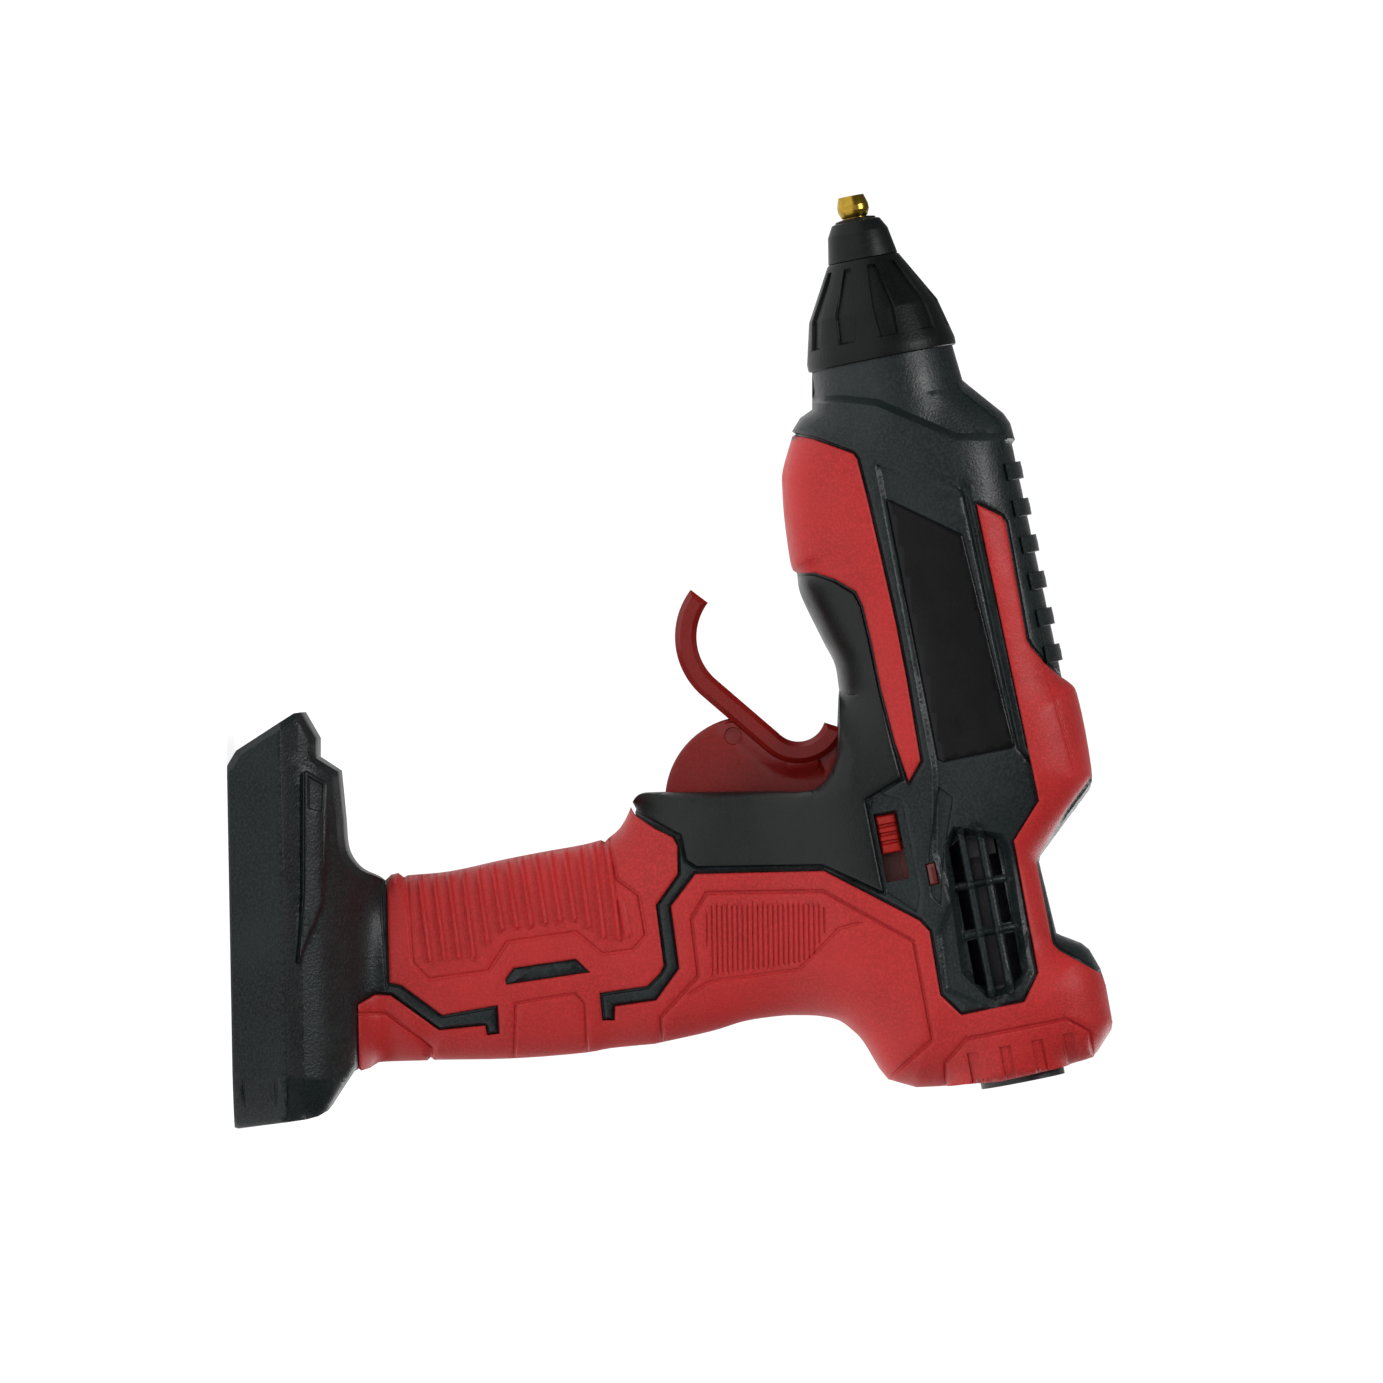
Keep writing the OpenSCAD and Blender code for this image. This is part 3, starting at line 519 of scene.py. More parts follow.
# ---- meshes from heights
RING_DEPTHS = (0.004, 0.03, 0.1, 0.25, 0.5, 0.9, 1.5, 2.3, 3.3, 4.6, 6.2)
GRID_STEP = 1.7


def sides_of(t):
    return (t[0], t[1]), (t[1], t[2]), (t[2], t[0])


def triangulated(lines, points):
    """Triangles of the plane that keep to the lines."""
    vertices, edges = [], []
    for line, closed in lines:
        first = len(vertices)
        vertices += [Vector(q) for q in line]
        n = len(line)
        edges += [(first + k, first + (k + 1) % n) for k in range(n if closed else n - 1)]
    vertices += [Vector(q) for q in points]
    flat, _, faces, *_ = delaunay_2d_cdt(vertices, edges, [], 0, 5e-4)
    xz = np.array([q[:] for q in flat])
    tris = np.array([f[:] for f in faces])
    a, b, c = (xz[tris[:, k]] for k in range(3))
    turn = (b[:, 0] - a[:, 0]) * (c[:, 1] - a[:, 1]) - (b[:, 1] - a[:, 1]) * (c[:, 0] - a[:, 0])
    tris[turn < 0] = tris[turn < 0][:, ::-1]
    return xz, tris[np.abs(turn) > 1e-7]


def without_chords(xz, tris):
    """Splits each inner edge that joins two points of the border, so that no edge is pinched."""
    while True:
        owners = {}
        for k, t in enumerate(tris.tolist()):
            for a, b in sides_of(t):
                owners.setdefault((min(a, b), max(a, b)), []).append(k)
        border = {q for edge, own in owners.items() if len(own) == 1 for q in edge}
        used, added, extra = set(), [], []
        for (a, b), own in owners.items():
            if len(own) == 2 and a in border and b in border and not used & set(own):
                used |= set(own)
                middle = len(xz) + len(added)
                added.append((xz[a] + xz[b]) / 2)
                for k in own:
                    t = tris[k].tolist()
                    extra += [[middle if q == a else q for q in t],
                              [middle if q == b else q for q in t]]
        if not added:
            return xz, tris
        xz = np.vstack([xz, added])
        tris = np.vstack([np.delete(tris, sorted(used), 0), extra])


def only_used(xz, tris):
    """Leaves out the points that no triangle uses."""
    used = np.unique(tris)
    renumber = np.zeros(len(xz), int)
    renumber[used] = np.arange(len(used))
    return xz[used], renumber[tris]


def honeycomb(low, high, step=GRID_STEP):
    rows = []
    for k, z in enumerate(np.arange(low[1], high[1], step * math.sin(math.radians(60)))):
        x = np.arange(low[0] + (k % 2) * step / 2, high[0], step)
        rows.append(np.stack([x, np.full(len(x), z)], 1))
    return np.vstack(rows)


def body_points():
    """Rows of points that follow the outline inwards, and an even grid between them."""
    dense = divided(SILHOUETTE, 1.6, True)
    rings = [parallel(dense, d, True) for d in RING_DEPTHS]
    rings = [r[np.abs(distance_to(r, SILHOUETTE, True) - d) < 0.3 * d + 0.002]
             for r, d in zip(rings, RING_DEPTHS)]
    grid = honeycomb(dense.min(0), dense.max(0))
    deep = distance_to(grid, SILHOUETTE, True) > RING_DEPTHS[-1] + 0.8
    corners = np.array(SILHOUETTE)
    to_next = np.roll(corners, -1, 0) - corners
    to_next /= length(to_next)[:, None]
    bisector = to_next - np.roll(to_next, 1, 0)
    sharp = length(bisector) > 0.25
    # The rows leave gaps at sharp corners
    fill = [corners[sharp] + r * bisector[sharp] for r in (-1, -0.3, -0.03, 0.03, 0.3, 1)]
    points = np.vstack(rings + [grid[deep]] + fill)
    return dense, points[is_inside(points, SILHOUETTE)]


OUTLINE_POINTS, BODY_POINTS = body_points()


def add_object(name, data):
    made = bpy.data.objects.new(name, data)
    scene.collection.objects.link(made)
    return made


def mesh_object(name, vertices, faces, material, sharp=38):
    mesh = bpy.data.meshes.new(name)
    mesh.from_pydata([tuple(v) for v in np.array(vertices) * MM], [], faces)
    piece = add_object(name, mesh)
    bm = bmesh.new()
    bm.from_mesh(mesh)
    bmesh.ops.remove_doubles(bm, verts=bm.verts, dist=1e-8)
    bmesh.ops.dissolve_degenerate(bm, edges=bm.edges, dist=1e-8)
    bm.to_mesh(mesh)
    bm.free()
    mesh.polygons.foreach_set("use_smooth", [True] * len(mesh.polygons))
    mesh.set_sharp_from_angle(angle=math.radians(sharp))
    mesh.materials.append(material)
    return piece


def lifted(xz, tris, top, bottom, side):
    """Vertices and faces of the solid between two heights, on the left (1) or the right (-1)."""
    top = np.maximum(top, bottom)
    closed = top - bottom < 1e-4
    n = len(xz)
    x, z = np.tile(xz, (2, 1)).T
    vertices = np.stack([x, side * np.concatenate([top, bottom]), z], 1)
    under = np.where(closed, np.arange(n), np.arange(n) + n)
    tris = tris[~closed[tris].all(1)]
    off_plane = (bottom[tris] != 0).any(1)
    faces = [tuple(t) for t in tris[:, ::-side]]
    faces += [tuple(t) for t in under[tris][off_plane][:, ::side]]
    edges = {}
    for t in tris.tolist():
        for a, b in sides_of(t):
            if edges.pop((b, a), None) is None:
                edges[(a, b)] = True
    for a, b in edges:
        wall = [a, b, under[b], under[a]]
        wall = [q for k, q in enumerate(wall) if q not in wall[:k]]
        if len(wall) > 2:
            faces.append(tuple(wall if side > 0 else wall[::-1]))
    return vertices, faces


def solid(name, xz, tris, top, bottom, sides, material):
    """One piece from the heights of its left half: sides is (1,), (-1,) or both."""
    vertices, faces = [], []
    for side in sides:
        v, f = lifted(xz, tris, top, bottom, side)
        faces += [tuple(int(q) + len(vertices) for q in face) for face in f]
        vertices += v.tolist()
    return mesh_object(name, vertices, faces, material)


# ---- rooms inside the shell
# The trigger's round slot round its pin, and its wider mouth under the barrel
DISC_R, DISC_HALF_W = 21.8, 6.1
MOUTH, MOUTH_HALF_W = (-38, 145, -10, 157), 8.6


def trigger_slot(p):
    """Half the width of the slot that the trigger moves in."""
    in_disc = length(p - PIVOT) < DISC_R
    return np.where(is_in_box(*p.T, MOUTH), MOUTH_HALF_W, np.where(in_disc, DISC_HALF_W, 0))


SLOT_LINES = [(circle(PIVOT, r, 72), True) for r in (21.79, 21.82)] + [
    (divided(box(*grown(MOUTH, e)), 3, True), True) for e in (0.02, -0.01)]
# Round bores along the barrel: radius, start and end
INLET_BORE, NOSE_BORE, SKIN_BORE = (10.8, -3, 6), (14.5, 172, 186), (11.3, -3, 6)


def bore(p, radius, u0, u1):
    """Half the width of a round bore along the barrel's axis."""
    u, v = barrel_coordinates(p)
    return np.where((u > u0) & (u < u1), np.sqrt(np.maximum(radius ** 2 - v ** 2, 0)), 0)


def bore_lines(radius, u0, u1):
    levels = [radius * math.sin(math.radians(a))
              for a in (-90, -80, -65, -45, -20, 20, 45, 65, 80, 90)]
    lines = [(divided(barrel_line((u0, v), (u1, v)), 4), False) for v in levels]
    ends = [(divided(barrel_line((u + e, -radius), (u + e, radius)), 3), False)
            for u in (u0, u1) for e in (-0.01, 0.01)]
    return lines + ends


CAVITY_REAR, CAVITY_H, CAVITY_HALF_W = -110, 10.5, 32
RAIL_H, RAIL_HALF_GAP = 3, 27.5
HANDLE_FLOOR = 13.5  # the handle is hollow above this height


def battery_cavity(p):
    """Half the width of the battery's room: a cavity with a rail at its lower edge."""
    z = p[:, 1]
    room = np.where(z < RAIL_H, RAIL_HALF_GAP, np.where(z < CAVITY_H, CAVITY_HALF_W, 0))
    return np.where(p[:, 0] > CAVITY_REAR, room, 0)


CAVITY_LINES = [([(-110.01, z), (-10, z)], False)
                for z in (2.99, 3.01, 10.49, 10.51, 13.49, 13.51)] + [
    ([(x, -1), (x, CAVITY_H)], False) for x in (-110.01, -109.99)]
# The screws' posts, and the holes for their heads and shanks
POST_R, HEAD_HOLE_R, SHANK_HOLE_R, SHANK_END = 3.8, 3.2, 1.7, 11.3


def shell(name, side, material):
    """One half of the black housing: hollow, with its screw posts, openings and skin beds."""
    holes = vent_openings() + ([SLOT, LENS_HOLE] if side > 0 else [])
    details = BLACK_DETAILS + vent_fins()
    if side < 0:
        details = [d for d in details if d[0] != ccw(LABEL)]
    skins = [ccw(s) for s in (GRIP, BELLY, GUARD)]
    lines = [(OUTLINE_POINTS, True)] + detail_lines(details) + SLOT_LINES + CAVITY_LINES
    for skin in skins + [ccw(WINDOW)]:
        lines += offsets(skin, [s for s, _ in SKIN_BED])
    lines += [(divided(ccw(hole), 1.2, True), True) for hole in holes]
    lines += lines_below(FILLETS, SKIN_T + 0.05)
    lines += bore_lines(*INLET_BORE) + bore_lines(*NOSE_BORE)
    lines += [(divided([(-116, z), (-10, z)], 2.5), False) for z, _ in FOOT_SECTION[1:6]]
    lines += [(divided([(FOOT_HEEL + e, 0), (FOOT_HEEL - 3 + e, 30)], 2), False)
              for e in (-0.4, 0.1)] + lines_below(["foot_front"], 1.6)
    lines += offsets(ccw(SLEEVE_ZONE), (-0.22, -0.18, 0.7, 1.68, 1.72))
    for block in BLOCKS:
        lines += offsets(ccw(block), [s for s, _ in BLOCK_EDGE], 1)
    dense = divided(SILHOUETTE, 2, True)
    for d in (WALL, WALL + 0.02):
        ring = parallel(dense, d, True)
        lines.append((ring[distance_to(ring, SILHOUETTE, True) > d - 0.1], True))
    # The rims of the posts and holes, each between two rows of points
    radii = (3.79, 3.81, 1.7, 1.72) if side > 0 else (3.79, 3.81, 1.7, 3.19, 3.21)
    for at, _ in SCREWS:
        lines += [(circle(at, r), True) for r in radii]
    xz, tris = triangulated(lines, BODY_POINTS)
    middle = xz[tris].mean(1)
    keep = is_inside(middle, SILHOUETTE)
    for hole in holes:
        keep &= ~is_inside(middle, hole)
    keep &= distance_from(middle, *FILLETS) > SKIN_T + 0.05
    if side < 0:
        for at, _ in SCREWS:
            keep &= length(middle - at) > SHANK_HOLE_R
    # The skins reach the edge of the tool, and the shell ends under them
    under_skin = np.max([depth_in(middle, skin) for skin in skins[:2]], 0) > 0.8
    keep &= ~under_skin | (distance_to(middle, SILHOUETTE, True) > 0.9)
    xz, tris = only_used(*without_chords(xz, tris[keep]))
    height = flank(xz)
    top = height + detail_height(details, xz)
    skinned = np.max([depth_in(xz, skin) for skin in skins], 0)
    skinned = np.minimum(skinned, -depth_in(xz, WINDOW))
    bed = height + level(SKIN_BED, skinned)
    top = np.where(skinned > -1.1, np.minimum(top, bed), top)
    inner_d = distance_to(xz, SILHOUETTE, True)
    hollow = (inner_d > WALL + 0.01) & (xz[:, 1] > HANDLE_FLOOR)
    bottom = np.where(hollow, np.maximum(height - WALL - 1.5, HALF_GAP), HALF_GAP)
    for at, seat in SCREWS:
        away = length(xz - at)
        bottom = np.where(away < POST_R, HALF_GAP, bottom)
        if side > 0:
            bottom = np.where(away < SHANK_HOLE_R + 0.01, SHANK_END, bottom)
        else:
            top = np.where(away < HEAD_HOLE_R, seat, top)
    for room in (trigger_slot(xz), bore(xz, *INLET_BORE), bore(xz, *NOSE_BORE),
                 battery_cavity(xz)):
        bottom = np.maximum(bottom, room)
    return solid(name, xz, tris, np.maximum(top, HALF_GAP), bottom, (side,), material)


def skin(name, region, details, sides, material, cuts=(), half_gap=HALF_GAP, kinds=("rear",)):
    """A moulded skin in its bed on the housing."""
    region = ccw(region)
    lines = [(OUTLINE_POINTS, True)] + detail_lines(details)
    lines += offsets(region, [s for s, _ in SKIN_EDGE])
    cuts = [ccw(c) for c in cuts]
    for cut in cuts:
        lines += offsets(cut, [-s for s, _ in SKIN_EDGE], 0.9)
    lines += lines_below(kinds, SKIN_T - 0.01, SKIN_T + 0.01)
    if "guard" in kinds:
        lines += SLOT_LINES
    if "rear" in kinds:
        lines += bore_lines(*SKIN_BORE)
    near = depth_in(BODY_POINTS, region) > -2
    xz, tris = triangulated(lines, BODY_POINTS[near])
    middle = xz[tris].mean(1)
    keep = is_inside(middle, SILHOUETTE) & is_inside(middle, region)
    for cut in cuts:
        keep &= ~is_inside(middle, cut)
    xz, tris = without_chords(*only_used(xz, tris[keep]))
    height = flank(xz)
    inset = np.min([depth_in(xz, region)] + [-depth_in(xz, cut) for cut in cuts], 0)
    top = height + detail_height(details, xz) + level(SKIN_EDGE, inset)
    bottom = np.maximum(height - SKIN_T, half_gap)
    for kind in kinds:
        bottom = np.where(distance_from(xz, kind) < SKIN_T, half_gap, bottom)
    if "guard" in kinds:
        bottom = np.maximum(bottom, trigger_slot(xz))
    if "rear" in kinds:
        bottom = np.maximum(bottom, bore(xz, *SKIN_BORE))
    return solid(name, xz, tris, np.maximum(top, half_gap), bottom, sides, material)


# ---- materials
def linear(colour, lighter):
    """A colour of 0 to 255 as the shaders take it, made lighter by a share of itself."""
    parts = [c / 255 / 12.92 if c <= 10 else ((c / 255 + 0.055) / 1.055) ** 2.4 for c in colour]
    return [min(c * (1 + lighter), 1) for c in parts] + [1]


def connect(tree, node, inputs):
    """Gives each input of a node its value, or the output of another node."""
    for socket, value in dict(inputs).items():
        if isinstance(value, bpy.types.NodeSocket):
            tree.links.new(value, node.inputs[socket])
        else:
            node.inputs[socket].default_value = value


def add_node(tree, kind, inputs=(), operation=None):
    node = tree.nodes.new("ShaderNode" + kind)
    if operation:
        node.operation = operation
    connect(tree, node, inputs)
    return node


CLOUD = 60  # scale of the slow changes of tone


def material(name, colour, rough, grain=0, bump=0, metallic=0, specular=0.5, coat=0, shade=0.12):
    """A moulded or turned surface: fine grain as bump, cloudy tone, and uneven gloss."""
    made = bpy.data.materials.new(name)
    made.use_nodes = True
    tree = made.node_tree
    at = add_node(tree, "TexCoord").outputs["Object"]

    def noise(scale, detail):
        inputs = {"Vector": at, "Scale": scale, "Detail": detail}
        return add_node(tree, "TexNoise", inputs).outputs["Fac"]

    def ranged(value, low, high, start=0.3, end=0.7):
        return add_node(tree, "MapRange", {"Value": value, "From Min": start, "From Max": end,
                                           "To Min": low, "To Max": high}).outputs["Result"]

    def mixed(factor, low, high):
        node = add_node(tree, "Mix")
        node.data_type = "RGBA"
        connect(tree, node, {"Factor": factor, "A": low, "B": high})
        return node.outputs["Result"]

    dark, light, bright = [linear(colour, by) for by in (-shade, shade, 2.6 * shade)]
    tone = mixed(ranged(noise(CLOUD, 3), 0, 1), dark, light)
    if grain:
        tone = mixed(ranged(noise(grain, 2), 0, 1, 0.42, 0.72), tone, bright)
    inputs = {"Metallic": metallic, "Specular IOR Level": specular, "Coat Weight": coat,
              "Coat Roughness": 0.12, "Base Color": tone,
              "Roughness": ranged(noise(CLOUD * 2.5, 4), rough - 0.06, rough + 0.06)}
    if bump:
        lift = {"Strength": bump, "Distance": 0.0002, "Height": noise(grain or 400, 2)}
        inputs["Normal"] = add_node(tree, "Bump", lift).outputs["Normal"]
    connect(tree, tree.nodes["Principled BSDF"], inputs)
    return made


BLACK = material("black_plastic", (17, 24, 25), 0.42, 1500, 0.5, specular=0.34, shade=0.6)
SATIN = material("satin_black", (12, 16, 16), 0.38, 1900, 0.3, specular=0.32, shade=0.3)
RED = material("red_skin", (178, 42, 42), 0.5, 1700, 0.5, specular=0.26, shade=0.11)
GLOSS = material("label_film", (10, 10, 11), 0.24, 900, 0.05, specular=0.22, shade=0.08)
# The trigger's red is a darker copy of the skins' red: painted shade on the lever, whose sides
# stand far inside the handle's flanks.
SHADED_TRIGGER_RED = material("trigger_red", (120, 17, 12), 0.34, 1700, 0.2, specular=0.34, shade=0.08)
SWITCH_RED = material("switch_red", (158, 19, 10), 0.36, 1500, 0.15, specular=0.35, shade=0.08)
BRASS = material("brass", (170, 138, 52), 0.24, 900, 0.12, metallic=1, shade=0.1)
# The cone's black is a darker copy of the housing's black plastic: painted shade on the nose.
SHADED_CONE_BLACK = material("nose_plastic", (7, 11, 10), 0.42, 1700, 0.35, specular=0.2, shade=0.3)
RUBBER = material("heat_rubber", (10, 14, 14), 0.46, 900, 0.3, specular=0.22, shade=0.2)
LENS = material("lens_red", (96, 20, 14), 0.16, 900, 0.02, coat=0.4)

# ---- housing and skins
HALVES = (("left", 1), ("right", -1))
SKIN_HOLE_R = 3.4


def holes_in(region, side):
    """The holes in a right skin over the screws under it."""
    return [circle(at, SKIN_HOLE_R) for at, _ in SCREWS
            if side < 0 and is_inside(np.array([at], float), region)[0]]


def place(piece, node, body="housing"):
    """Puts a piece on its body and in the place of its CAD node."""
    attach(piece, body)
    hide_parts(node)


for half, side in HALVES:
    place(shell(half + "_shell", side, BLACK), half + "_housing")
for half, side in HALVES:
    cuts = [WINDOW] + holes_in(GRIP, side)
    place(skin(half + "_grip_skin", GRIP, RED_DETAILS, (side,), RED, cuts),
          half + "_grip")
for half, side in HALVES:
    place(skin(half + "_belly_skin", BELLY, [], (side,), RED, holes_in(BELLY, side), kinds=()),
          half + "_belly_panel")
place(skin("guard_skin", GUARD, [], (1, -1), SATIN, half_gap=0, kinds=("guard",)),
      "finger_guard")

# ---- label, switch and light
LABEL_EDGE = [(0, -0.3), (0.12, -0.08), (0.3, 0)]
LABEL_INSET, LABEL_BED, LABEL_T = 0.4, 1.95, 0.48


def label_plate():
    """The blank label in its recess on the left flank."""
    region = ccw(LABEL)
    dense = parallel(divided(region, 1, True), LABEL_INSET, True)
    grid = honeycomb(dense.min(0), dense.max(0))
    xz, tris = triangulated(offsets(dense, [s for s, _ in LABEL_EDGE]),
                            grid[depth_in(grid, dense) > 0.8])
    xz, tris = only_used(xz, tris[is_inside(xz[tris].mean(1), dense)])
    bed = flank(xz) - LABEL_BED
    top = bed + LABEL_T + level(LABEL_EDGE, depth_in(xz, dense))
    return solid("label_plate", xz, tris, top, bed - 0.1, (1,), GLOSS)


def flat_cap(name, ends, top, edge, bottom, material, grooves=(), foot=None, foot_bottom=0):
    """A small rounded block on the left flank, with grooves across it and a foot below it."""
    outline = ccw(barrel_box(*ends))
    lines = offsets(outline, [0, 0.1 * edge, 0.3 * edge, 0.6 * edge, edge], 0.5)
    for at, width, _ in grooves:
        for u in at + np.linspace(-0.5, 0.5, 7) * width:
            row = barrel_line((u, ends[1] + 0.01), (u, ends[3] - 0.01))
            lines.append((divided(row, 0.5), False))
    if foot:
        lines += [(divided(ccw(barrel_box(*grown(foot, e))), 0.5, True), True) for e in (0, 0.03)]
    xz, tris = triangulated(lines, [])
    xz, tris = only_used(xz, tris[is_inside(xz[tris].mean(1), outline)])
    height = top - rounded(depth_in(xz, outline), edge)
    along, across = barrel_coordinates(xz)
    for at, width, depth in grooves:
        wave = np.cos(np.pi * np.clip((along - at) / width, -0.5, 0.5))
        height = height - depth * np.clip(1.35 * wave, 0, 1)
    base = np.full(len(xz), float(bottom))
    if foot:
        base[is_in_box(along, across, grown(foot, 0.01))] = foot_bottom
    return solid(name, xz, tris, height, base, (1,), material)


place(label_plate(), "rating_label")
SLIDER = (61.1, -23.9, 70.6, -18.9)
SLIDER_GROOVES = [(SLIDER[0] + 2.7 + 2.1 * k, 1.2, 0.8) for k in range(3)]
place(flat_cap("switch_slider", SLIDER, 22.15, 0.7, 17.6, SWITCH_RED, SLIDER_GROOVES,
               (64.1, -22.9, 67.6, -19.9), 15.3), "power_switch", "power_switch")
place(flat_cap("light_pipe", (51.25, -13.9, 56.75, -11.5), 23, 0.4, 11.4, LENS),
      "led_lens")

# ---- trigger
LEVER_T, LEVER_HALF_W = 5.4, 8
LOW_CENTRE, LOW_R = (4.8, 131), 14.1
TOP_CENTRE, TOP_R = (-14.8, 142), 6.8
TIP_ANGLE, BEND_ANGLE, HOOK_ANGLE = -53, -137, -250
PLATE_R, PLATE_HALF_W = 21, 5.5
ARM_LENGTH, ARM_HALF_W = 41.9, 3
NUB_R, NUB_HALF_W = 3, 3.8
PIN_HOLE_R = 1.55
MARK_RIM = (2.05, 2.25)
END_BEYOND = 0.3  # the lever's flat ends stand back this far


def lever_arcs(grown, steps):
    """One side of the lever, from its lower tip to the end of its hook."""
    low_end = math.degrees(END_BEYOND / (LOW_R + LEVER_T / 2))
    hook_end = math.degrees(END_BEYOND / (TOP_R + LEVER_T / 2))
    return arc(LOW_CENTRE, LOW_R + grown, TIP_ANGLE + low_end, BEND_ANGLE, steps) \
        + arc(TOP_CENTRE, TOP_R + grown, BEND_ANGLE, HOOK_ANGLE - hook_end, steps)


def trigger():
    """The finger lever, its round plate on the pin, and the arm that drives the feed carriage."""
    mouth = lever_arcs(0, 28)
    lever = ccw(mouth + lever_arcs(LEVER_T, 34)[::-1])
    lean = math.radians(1)
    nub = PIVOT + ARM_LENGTH * np.array([math.sin(lean), math.cos(lean)])
    arm = ccw([(PIVOT[0] - 6, PIVOT[1]), (PIVOT[0] + 6, PIVOT[1]), (nub[0] + 1.5, nub[1]),
               (nub[0] - 1.5, nub[1])])
    mark = PIVOT + np.array([16.1, -3.7])
    web = ccw([(-34, 148.5), (-29, 150.5), (-22, 153.2), (-20.3, 152.6), (-20.2, 149.5),
               (-24, 142), (-34, 138)])
    # Each form's outline, half width and edge
    forms = [(lever, LEVER_HALF_W, 1.3), (circle(PIVOT, PLATE_R, 120), PLATE_HALF_W, 0.7),
             (web, PLATE_HALF_W, 0.5), (arm, ARM_HALF_W, 0.5),
             (circle(nub, NUB_R, 32), NUB_HALF_W, 0.4)]
    lines = [(circle(PIVOT, PIN_HOLE_R, 32), True)]
    for loop, _, edge in forms:
        lines += offsets(loop, (-0.03, 0, 0.12 * edge, 0.35 * edge, 0.65 * edge, edge), 1)
    lines += [(circle(mark, r, 32), True) for r in MARK_RIM]
    grid = honeycomb((-60, 105), (20, 175), 1.6)
    xz, tris = triangulated(lines, grid)
    middle = xz[tris].mean(1)
    keep = np.any([is_inside(middle, loop) for loop, _, _ in forms], 0)
    keep &= length(middle - PIVOT) > PIN_HOLE_R
    keep &= ~is_inside(middle, mouth) | is_inside(middle, arm)
    xz, tris = without_chords(*only_used(xz, tris[keep]))
    height = np.zeros(len(xz))
    for loop, half_w, edge in forms:
        inset = depth_in(xz, loop)
        if half_w > PLATE_HALF_W:
            shoulder = np.clip(edge - inset, 0, edge)
        else:
            shoulder = rounded(inset, edge)
        height = np.maximum(height, np.where(inset > -0.01, half_w - shoulder, 0))
    from_lever = -depth_in(xz, lever)
    fillet = 1.6 * (1 - ease(from_lever, 0, 4)) * (height <= PLATE_HALF_W) * (from_lever > 0)
    inside_plate = length(xz - PIVOT) < PLATE_R - 0.8
    height = height + np.where(inside_plate, fillet, 0)
    height = height - 0.5 * (1 - ease(length(xz - mark), *MARK_RIM))
    return solid("trigger_lever", xz, tris, height, np.zeros(len(xz)), (1, -1), SHADED_TRIGGER_RED)


place(trigger(), "trigger", "trigger")

# ---- turned pieces of the nose
def softened(profile, radius):
    """A closed profile with each corner rounded."""
    p = np.array(profile, float)
    points = []
    for before, corner, after in zip(np.roll(p, 1, 0), p, np.roll(p, -1, 0)):
        a, b = [corner + (q - corner) * min(radius / length(q - corner), 0.45)
                for q in (before, after)]
        points += [tuple((1 - t) ** 2 * a + 2 * t * (1 - t) * corner + t ** 2 * b)
                   for t in np.linspace(0, 1, 4)]
    return points


TURNED_SIDES = 96


def turned(name, profile, material, angles=None, sink=None, sharp=38):
    """A ring round the barrel's axis: a closed profile of (u, radius), turned and then sunk."""
    profile = np.array(profile, float)
    if angles is None:
        angles = np.tile(np.linspace(0, 2 * np.pi, TURNED_SIDES + 1)[:-1], (len(profile), 1))
    u, r = profile[:, :1], profile[:, 1:]
    if sink is not None:
        r = r - sink
    xz = INLET + (u[..., None] * ALONG) + (r * np.cos(angles))[..., None] * UP
    y = r * np.sin(angles)
    vertices = np.stack([xz[..., 0], y, xz[..., 1]], -1).reshape(-1, 3)
    n, m = angles.shape
    faces = [(i * m + j, i * m + (j + 1) % m, (i + 1) % n * m + (j + 1) % m,
              (i + 1) % n * m + j) for i in range(n) for j in range(m)]
    return mesh_object(name, vertices, faces, material, sharp)


CONE_OUTSIDE = [(183.2, 18.7), (184.5, 18.8), (194.7, 16.3), (207.9, 8.9)]
CONE_WALL = 2.6
POCKETS, POCKET_TURN, POCKET_ENDS = 10, 9, (187.5, 206)
POCKET_DEPTH = 0.9
POCKET_HALF_WIDTHS = [(187.5, 2.3), (195, 2.6), (206, 1)]


def nose_cone():
    """The black cone with its ring of long pockets that narrow towards the tip."""
    outside = [(182.5, 18), (182.55, 18.5), (182.75, 18.72), (183.2, 18.78), (184.4, 18.8)]
    stops = [184.5, 186, 187.35, 187.5, 187.7, 188, 189.5, 191.5, 193.4, 194.2, 194.7, 195.2, 196,
             198, 200, 202, 204, 205.4, 205.8, 206, 206.2, 207, 207.6]
    outside += [(u, level(CONE_OUTSIDE, u)) for u in stops]
    outside += [(207.85, 8.7), (207.9, 8.5)]
    inside = [(u, r - CONE_WALL) for u, r in reversed(CONE_OUTSIDE)]
    inside[0] = (207.9, 6.3)
    inside.append((182.9, 17.95))
    profile = np.array(outside + inside)
    u = profile[:, :1]
    r = level(CONE_OUTSIDE, u)
    half = level(POCKET_HALF_WIDTHS, u)
    sector = 2 * np.pi / POCKETS
    # Columns keep to the pockets' sides: across each pocket, and over the land to the next
    across = np.array([-1.08, -1, -0.94, -0.8, -0.4, 0, 0.4, 0.8, 0.94, 1, 1.08])
    pocket = across * half / r
    land = np.linspace(0, 1, 7)[1:-1]
    gap = sector - 2 * pocket[:, -1:]
    one = np.hstack([pocket, pocket[:, -1:] + land * gap])
    angles = np.hstack([one + k * sector + math.radians(POCKET_TURN) for k in range(POCKETS)])
    inner_rows = np.arange(len(profile)) >= len(outside)
    side = np.interp(np.abs(across), [0.94, 1, 1.08], [1, 0.25, 0])
    ends = np.minimum(ease(u, POCKET_ENDS[0] - 0.05, POCKET_ENDS[0] + 0.4),
                      1 - ease(u, POCKET_ENDS[1] - 0.4, POCKET_ENDS[1] + 0.05))
    sink = np.tile(np.concatenate([side, np.zeros(len(land))]), POCKETS) * ends * POCKET_DEPTH
    sink[inner_rows] = 0
    return turned("cone_shell", profile, SHADED_CONE_BLACK, angles=angles, sink=sink, sharp=30)


place(nose_cone(), "nose_cone")
